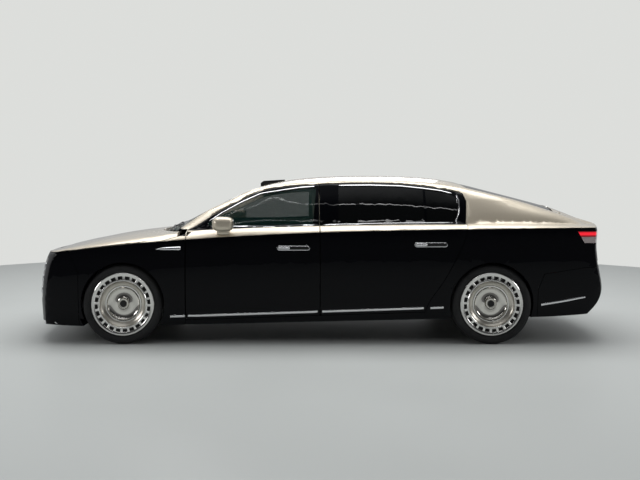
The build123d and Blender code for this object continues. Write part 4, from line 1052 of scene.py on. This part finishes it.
STEPS_PER_WINDOW, STEPS_OPEN = 10, 7
DISC_FACE = 0.11                       # a window's faces lie further out than this
WINDOW_EDGE, WINDOW_CHAMFER = 0.0015, 0.001
WINDOW_SLOPE, WINDOW_DEPTH = 0.0005, 0.028
CAP_RADIUS, CAP_DEPTH = 0.030, 0.07
DISC_ANGLE, TYRE_ANGLE = math.radians(32), math.radians(30)


def wheel_distance(point):
    """Distance of a point from the left front wheel's axle."""
    return math.hypot(point.x - FRONT_WHEEL.x, point.z - FRONT_WHEEL.z)


def fit_to_corner(source, corner, side, word, *finishes):
    """Copies a left front piece to a corner of the car, turned over for the right side."""
    piece = moved_copy(source, Vector((0, 0, 0)))
    if side > 0:
        piece.data.transform(Matrix.Scale(-1, 4, Vector((0, 1, 0))))
        activate(piece)
        bpy.ops.object.mode_set(mode="EDIT")
        bpy.ops.mesh.select_all(action="SELECT")
        bpy.ops.mesh.flip_normals()
        bpy.ops.object.mode_set(mode="OBJECT")
    if corner.startswith("rear"):
        piece.data.transform(Matrix.Translation(Vector((REAR_WHEEL.x - FRONT_WHEEL.x, 0, 0))))
    settle(piece, word + corner + "_finish", word + corner, word + corner, *[finish_of(name) for name in finishes])
    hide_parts(word + corner)


class SEDAN_OT_rims(bpy.types.Operator):
    """Turns one wheel disc, sinks its windows as pockets painted near black as shade and copies it to each corner."""

    bl_idname = "sedan.rims"
    bl_label = "Wheel discs"

    def execute(self, context):
        steps = context.scene.sedan_sizes.wheel_windows * STEPS_PER_WINDOW
        disc = turned(RIM_FACE + RIM_BACK, FRONT_WHEEL, steps)

        def in_window(face):
            spot = face.center - FRONT_WHEEL
            turn = math.atan2(spot.z, spot.x) % (2 * math.pi)
            step = int(turn / (2 * math.pi) * steps) % STEPS_PER_WINDOW
            in_band = WINDOW_BAND[0] < wheel_distance(face.center) < WINDOW_BAND[1]
            return in_band and -spot.y > DISC_FACE and step < STEPS_OPEN

        pick_faces(disc, in_window)
        bpy.ops.mesh.inset(thickness=WINDOW_EDGE, depth=-WINDOW_CHAMFER)
        bpy.ops.mesh.inset(thickness=WINDOW_SLOPE, depth=-WINDOW_DEPTH)
        bpy.ops.object.mode_set(mode="OBJECT")
        bpy.ops.object.shade_smooth_by_angle(angle=DISC_ANGLE)
        # The windows' pockets take the second material, near black: painted shade in place of real openings. The centre
        # cap takes it too.
        coat(disc, finish_of("rim metal"), finish_of("window shade"))
        for face in disc.data.polygons:
            on_cap = FRONT_WHEEL.y - face.center.y > CAP_DEPTH and wheel_distance(face.center) < CAP_RADIUS
            if face.select or on_cap:
                face.material_index = 1
        for corner, side in CORNERS:
            fit_to_corner(disc, corner, side, "rim_", "rim metal", "window shade")
        bpy.data.objects.remove(disc)
        return {"FINISHED"}


TREAD_ROWS = 7
TREAD_EDGE, TREAD_INSIDE = 0.034, 0.030     # from the tyre's side to its tread, and to the last groove
BLOCK_GAP = 0.0022                          # half the width of a groove
TYRE_SIDE = (                               # radius, and distance in from the tyre's side
    (0.2885, 0.020), (0.294, 0.012), (0.303, 0.008), (0.305, 0.004), (0.318, 0.001), (0.330, 0.0), (0.342, 0.002),
    (0.351, 0.008), (0.358, 0.016), (0.3625, 0.025),
)


def tyre_profile():
    """Closed profile of the tyre with a row of points across its tread."""
    radius, half = TYRE_RADIUS, TYRE_HALF
    side = [(ring, half - inset) for ring, inset in TYRE_SIDE]
    tread = [(radius, (half - TREAD_EDGE) * (1 - 2 * row / TREAD_ROWS)) for row in range(TREAD_ROWS + 1)]
    inner = [(0.2885, 0.020 - half), (0.302, 0.030 - half), (0.335, 0.034 - half), (0.350, 0.060 - half),
             (0.350, half - 0.060), (0.335, half - 0.034), (0.302, half - 0.030)]
    return side + tread + [(ring, -out) for ring, out in reversed(side)][:-1] + inner


class SEDAN_OT_tyres(bpy.types.Operator):
    """Turns one tyre, cuts its tread into blocks and copies it to each corner."""

    bl_idname = "sedan.tyres"
    bl_label = "Tyres"

    def execute(self, context):
        sizes = context.scene.sedan_sizes
        tyre = turned(tyre_profile(), FRONT_WHEEL, sizes.tread_blocks)
        band = TYRE_HALF - TREAD_INSIDE

        def on_tread(spot, slack):
            return wheel_distance(spot) > TYRE_RADIUS - slack and abs(spot.y - FRONT_WHEEL.y) < band

        pick_faces(tyre, lambda face: on_tread(face.center, 0.001))
        bpy.ops.mesh.inset(thickness=BLOCK_GAP, use_individual=True)
        bpy.ops.object.mode_set(mode="OBJECT")
        for vertex in tyre.data.vertices:
            if not vertex.select and on_tread(vertex.co, 0.0005):
                radius = wheel_distance(vertex.co)
                share = (radius - sizes.groove_depth) / radius
                vertex.co.x = FRONT_WHEEL.x + (vertex.co.x - FRONT_WHEEL.x) * share
                vertex.co.z = FRONT_WHEEL.z + (vertex.co.z - FRONT_WHEEL.z) * share
        activate(tyre)
        bpy.ops.object.shade_smooth_by_angle(angle=TYRE_ANGLE)
        for corner, side in CORNERS:
            fit_to_corner(tyre, corner, side, "tyre_", "tyre rubber")
        bpy.data.objects.remove(tyre)
        return {"FINISHED"}


# ------------------------------------------------------------------ cabin
PAD_BLUNT, PAD_EDGE, PAD_CROWN_POWER = 7, 0.82, 0.6     # how square a pad is, and its rim against its crown
PAD_DRAW = 0.02                                         # share by which a pad's sides draw in between corners
SEAM_WIDTH, SEAM_DEPTH = 0.010, 0.10
SEAMS = (-0.6, 0, 0.6)                                  # shares of a pad's half width


def pad(name, size, centre, lean, channels, node_name, cuts=19):
    """A crowned leather pad with sewn channels, its face along +X or +Z before it is leant back."""
    half = Vector(size) / 2
    thin = min(range(3), key=lambda axis: size[axis])
    wide, long = (axis for axis in range(3) if axis != thin)

    def spot(corner):
        form = eased(corner, PAD_BLUNT)
        crown = (1 - corner[wide] ** 2) * (1 - corner[long] ** 2)
        form[thin] *= PAD_EDGE + (1 - PAD_EDGE) * crown ** PAD_CROWN_POWER
        for axis, other in ((wide, long), (long, wide)):
            form[axis] *= 1 - PAD_DRAW * (1 - corner[other] ** 2)
        point = Vector((form[axis] * half[axis] for axis in range(3)))
        for line in channels:
            away = (point.y - line * half.y) / SEAM_WIDTH
            point[thin] *= 1 - SEAM_DEPTH * math.exp(-away * away)
        return point

    piece = divided_cube(cuts, spot)
    piece.data.transform(Matrix.Translation(Vector(centre)) @ Matrix.Rotation(math.radians(lean), 4, "Y"))
    rounded = piece.modifiers.new("rounding", "SUBSURF")
    rounded.levels = 1
    rounded.render_levels = 1
    apply_modifiers(piece)
    bpy.ops.object.shade_smooth()
    settle(piece, name, node_name, node_name, finish_of("seat leather"))
    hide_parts(node_name)


FRONT_SEAT_Y, FRONT_SEAT_TALL = 0.37, 0.900      # a seat's middle, and its headrest's top over its cushion's foot
FRONT_PADS = (                                   # name, size, place behind and above the seat's foot, lean, seams, cuts
    ("front_cushion_", (0.46, 0.50, 0.150), (0.235, 0.092), 4, SEAMS, 19),
    ("front_back_", (0.120, 0.50, 0.62), (0.545, 0.445), 14, SEAMS, 19),
    ("front_headrest_", (0.066, 0.25, 0.20), (0.632, 0.790), 0, (), 11),
)
BASE_X, BASE_LENGTH, BASE_WIDTH, BASE_EDGE = 0.30, 0.42, 0.36, 0.012
BASE_CLEAR, BASE_RISE = 0.002, 0.03              # over the floor, and up into the cushion
REAR_SEAT_Y = 0.335
REAR_PADS = (
    ("rear_cushion_", (0.47, 0.50, 0.165), (0.240, 0.085), 4, SEAMS, 19),
    ("rear_back_", (0.120, 0.50, 0.54), (0.530, 0.375), 15, SEAMS, 19),
)
ARMREST_SIZE, ARMREST_X, ARMREST_Z, ARMREST_LEAN = (0.42, 0.15, 0.10), 0.26, 0.20, 2


class SEDAN_OT_seats(bpy.types.Operator):
    """Upholsters the seats."""

    bl_idname = "sedan.seats"
    bl_label = "Seats"

    def execute(self, context):
        low, high = (Vector(corner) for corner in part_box("front_seats"))
        x, z = low.x, high.z - FRONT_SEAT_TALL
        for word, side in SIDES:
            y = side * FRONT_SEAT_Y
            for name, size, (back, up), lean, seams, cuts in FRONT_PADS:
                pad(name + word, size, (x + back, y, z + up), lean, seams, "front_seats", cuts)
            foot, top = low.z + BASE_CLEAR, z + BASE_RISE
            base = block((x + BASE_X, y, (foot + top) / 2), (BASE_LENGTH, BASE_WIDTH, top - foot))
            bevelled(base, BASE_EDGE, 3)
            settle(base, "seat_base_" + word, "front_seats", "cowl", finish_of("black plastic"))
        x, z = (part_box("rear_seats")[0][axis] for axis in (0, 2))
        for word, side in SIDES:
            for name, size, (back, up), lean, seams, cuts in REAR_PADS:
                pad(name + word, size, (x + back, side * REAR_SEAT_Y, z + up), lean, seams, "rear_seats", cuts)
        pad("rear_armrest", ARMREST_SIZE, (x + ARMREST_X, 0, z + ARMREST_Z), ARMREST_LEAN, (), "rear_seats", 11)
        return {"FINISHED"}


WHEEL_ANGLE = math.radians(35)                   # edges of the steering wheel flatter than this are smooth
HOUSING_RISE, HOUSING_BLUNT = 0.066, 3.0         # half the height of a mirror's housing
HOUSING_FROM_DOOR = 0.022                        # from the mirror's inner end to its housing
FOOT_HALF, FOOT_BLUNT = (0.060, 0.045, 0.034), 4.0
GLASS_HALF_WIDTH, GLASS_HALF_HEIGHT, GLASS_SQUARE, GLASS_WALL = 0.074, 0.046, 0.55, 0.002
GLASS_SEAT = 0.0016                              # how far the glass stands inside the housing's rear end


class SEDAN_OT_cabin(bpy.types.Operator):
    """Dresses the dashboard and the steering wheel, and rounds the mirrors and gives them their glass."""

    bl_idname = "sedan.cabin"
    bl_label = "Cabin"

    def execute(self, context):
        smooth_copy("dashboard", finish_of("dark leather"))
        smooth_copy("steering_wheel", finish_of("dark leather"), WHEEL_ANGLE)
        for word, side in SIDES:
            self.mirror("mirror_" + word, word, side)
        return {"FINISHED"}

    def mirror(self, name, word, side):
        """A rounded housing on a foot, with a pane of mirror glass in its rear."""
        low, high = (Vector(corner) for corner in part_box(name))
        inner, outer = sorted((abs(low.y), abs(high.y)))
        middle_x, middle_z = (low.x + high.x) / 2, high.z - HOUSING_RISE
        middle_y = side * (outer + inner + HOUSING_FROM_DOOR) / 2
        half = Vector(((high.x - low.x) / 2, (outer - inner - HOUSING_FROM_DOOR) / 2, HOUSING_RISE))
        self.rounded(name, "_housing", Vector((middle_x, middle_y, middle_z)), half, HOUSING_BLUNT)
        self.rounded(name, "_foot", Vector((middle_x, side * (inner + FOOT_HALF[1]), low.z + FOOT_HALF[2])),
                     FOOT_HALF, FOOT_BLUNT)
        centre = Vector((high.x - GLASS_SEAT, middle_y, middle_z))

        def spot(u, v):
            cosine, sine = squared(2 * math.pi * u, GLASS_SQUARE)
            return centre + Vector((0, GLASS_HALF_WIDTH * cosine, GLASS_HALF_HEIGHT * sine)) * (1 - v)

        pane = wall(sheet_of(40, 6, spot), Vector((1, 0, 0)), GLASS_WALL)
        settle(pane, "mirror_glass_" + word, name, "windscreen", finish_of("mirror"))

    def rounded(self, name, word, centre, half, blunt):
        """A part of a mirror: a divided cube drawn in towards an egg."""
        piece = divided_cube(15, lambda corner: centre + Vector(
            (value * size for value, size in zip(eased(corner, blunt), half))))
        activate(piece)
        bpy.ops.object.shade_smooth()
        settle(piece, name + word, name, name, finish_of("upper lacquer"))
        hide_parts(name)


# ------------------------------------------------------------------ stage
FLOOR_RADIUS, FLOOR_DROP = 8, 0.001
NEAR_SKY = ((0.0, 0.16), (0.30, 0.04), (0.72, 0.05), (0.90, 0.55), (1.0, 0.60))     # height of a direction, light
FAR_SKY = ((0.0, 0.40), (0.30, 0.50), (1.0, 0.60))
SKY_TINT = (0.97, 0.99)
SKY_JOIN = 0.35                        # half the width over which the near sky gives way to the far one
VIEW_COLOUR = (0.72, 0.73, 0.71, 1)
SOFT_LIGHTS = (                        # name, place, aim, size, power
    ("overhead", (0, 0.5, 6.5), (0, 0, 0), (9, 4.5), 430),
    ("strip_0", (-0.6, -5.0, 6.0), (0, 0, 1.0), (8.0, 0.07), 12),
    ("strip_1", (-0.1, -6.0, 4.4), (0, 0, 1.0), (8.0, 0.07), 9),
    ("front_fill", (-9, -4, 3.4), (-1, 0, 0.8), (3, 2), 120),
    ("rear_fill", (9, -3, 3.4), (1, 0, 0.8), (3, 2), 100),
    ("back_fill", (0, 8, 4.0), (0, 0, 0.8), (6, 2), 150),
)
CAMERA_PLACE, CAMERA_LENS, CAMERA_SENSOR, CAMERA_FAR = (-0.297, -8.26, 1.49), 45.0, 36.0, 200
CAMERA_SHIFT = (0.046875, -0.0921875)


def soft_light(name, spot, aim, size, power):
    """A large soft lamp aimed at a point."""
    bpy.ops.object.light_add(type="AREA", location=spot)
    lamp = bpy.context.object
    lamp.name = name
    lamp.data.shape = "RECTANGLE"
    lamp.data.size, lamp.data.size_y = size
    lamp.data.energy = power
    lamp.rotation_euler = (Vector(aim) - Vector(spot)).to_track_quat("-Z", "Y").to_euler()


def sky(tree):
    """The studio's room: pale above and behind the car, dim above the horizon on the near side."""
    coords = tree.nodes.new("ShaderNodeTexCoord")
    parts = tree.nodes.new("ShaderNodeSeparateXYZ")
    tree.links.new(coords.outputs["Generated"], parts.inputs[0])
    ramps = []
    for stops in (NEAR_SKY, FAR_SKY):
        ramp = tree.nodes.new("ShaderNodeValToRGB")
        ramp.color_ramp.interpolation = "EASE"
        while len(ramp.color_ramp.elements) < len(stops):
            ramp.color_ramp.elements.new(0.5)
        for element, (spot, value) in zip(ramp.color_ramp.elements, stops):
            element.position = spot
            element.color = (value * SKY_TINT[0], value * SKY_TINT[1], value, 1)
        tree.links.new(parts.outputs[2], ramp.inputs[0])
        ramps.append(ramp.outputs[0])
    far = tree.nodes.new("ShaderNodeMapRange")
    far.interpolation_type = "SMOOTHSTEP"
    tree.links.new(parts.outputs[1], far.inputs["Value"])
    far.inputs["From Min"].default_value = -SKY_JOIN
    far.inputs["From Max"].default_value = SKY_JOIN
    both = tree.nodes.new("ShaderNodeMix")
    both.data_type = "RGBA"
    tree.links.new(far.outputs[0], both.inputs["Factor"])
    tree.links.new(ramps[0], both.inputs[6])
    tree.links.new(ramps[1], both.inputs[7])
    return both.outputs[2]


class SEDAN_OT_stage(bpy.types.Operator):
    """Sets the floor, the lamps, the world and the camera."""

    bl_idname = "sedan.stage"
    bl_label = "Stage"

    def execute(self, context):
        self.floor()
        self.room(context.scene)
        for row in SOFT_LIGHTS:
            soft_light(*row)
        self.camera(context.scene)
        context.scene.view_settings.view_transform = "Standard"
        return {"FINISHED"}

    def floor(self):
        """A round pale floor."""
        clear_selection()
        bpy.ops.mesh.primitive_circle_add(vertices=96, radius=FLOOR_RADIUS, fill_type="NGON",
                                          location=(0, 0, -FLOOR_DROP))
        floor = bpy.context.object
        floor.name = "studio_floor"
        mat = shader("studio floor", (0.50, 0.52, 0.51), rough=0.5, specular=0.3)
        roughened(mat, 0.6, 0.42, 0.55, band=(0.3, 0.7))
        coat(floor, mat)

    def room(self, scene):
        """A world that lights the car by direction and looks evenly pale to the camera."""
        world = bpy.data.worlds.new("studio")
        scene.world = world
        world.use_nodes = True
        tree = world.node_tree
        for old in list(tree.nodes):
            tree.nodes.remove(old)
        out = tree.nodes.new("ShaderNodeOutputWorld")
        room = tree.nodes.new("ShaderNodeBackground")
        view = tree.nodes.new("ShaderNodeBackground")
        join = tree.nodes.new("ShaderNodeMixShader")
        path = tree.nodes.new("ShaderNodeLightPath")
        view.inputs["Color"].default_value = VIEW_COLOUR
        for source, target in (
            (sky(tree), room.inputs["Color"]), (path.outputs["Is Camera Ray"], join.inputs["Fac"]),
            (room.outputs[0], join.inputs[1]), (view.outputs[0], join.inputs[2]),
            (join.outputs[0], out.inputs["Surface"]),
        ):
            tree.links.new(source, target)

    def camera(self, scene):
        """The camera at the photo's angle."""
        bpy.ops.object.camera_add(location=CAMERA_PLACE, rotation=(math.pi / 2, 0, 0))
        scene.camera = bpy.context.object
        scene.camera.name = "camera"
        lens = scene.camera.data
        lens.lens, lens.sensor_width, lens.clip_end = CAMERA_LENS, CAMERA_SENSOR, CAMERA_FAR
        lens.shift_x, lens.shift_y = CAMERA_SHIFT


class SEDAN_PT_panel(bpy.types.Panel):
    """Lists the car's operators and values."""

    bl_idname = "SEDAN_PT_panel"
    bl_label = "Two-tone sedan"
    bl_space_type = "VIEW_3D"
    bl_region_type = "UI"
    bl_category = "Sedan"

    def draw(self, context):
        for group in (context.scene.sedan_finish, context.scene.sedan_sizes):
            for key in group.__annotations__:
                self.layout.prop(group, key)
        for step in STEPS:
            self.layout.operator(step.bl_idname)


STEPS = (
    SEDAN_OT_panels, SEDAN_OT_glazing, SEDAN_OT_grille, SEDAN_OT_trim, SEDAN_OT_handles, SEDAN_OT_roof,
    SEDAN_OT_underbody, SEDAN_OT_rims, SEDAN_OT_tyres, SEDAN_OT_seats, SEDAN_OT_cabin, SEDAN_OT_stage,
)
CLASSES = (SedanFinish, SedanSizes, *STEPS, SEDAN_PT_panel)


def register():
    """Adds the classes and their values to Blender."""
    for cls in CLASSES:
        bpy.utils.register_class(cls)
    bpy.types.Scene.sedan_finish = PointerProperty(type=SedanFinish)
    bpy.types.Scene.sedan_sizes = PointerProperty(type=SedanSizes)


def unregister():
    """Takes them away again."""
    del bpy.types.Scene.sedan_sizes
    del bpy.types.Scene.sedan_finish
    for cls in reversed(CLASSES):
        bpy.utils.unregister_class(cls)


def main():
    """Builds the car's looks."""
    register()
    bpy.ops.sedan.panels()
    bpy.ops.sedan.glazing()
    bpy.ops.sedan.grille()
    bpy.ops.sedan.trim()
    bpy.ops.sedan.handles()
    bpy.ops.sedan.roof()
    bpy.ops.sedan.underbody()
    bpy.ops.sedan.rims()
    bpy.ops.sedan.tyres()
    bpy.ops.sedan.seats()
    bpy.ops.sedan.cabin()
    bpy.ops.sedan.stage()


if __name__ == "__main__":
    main()
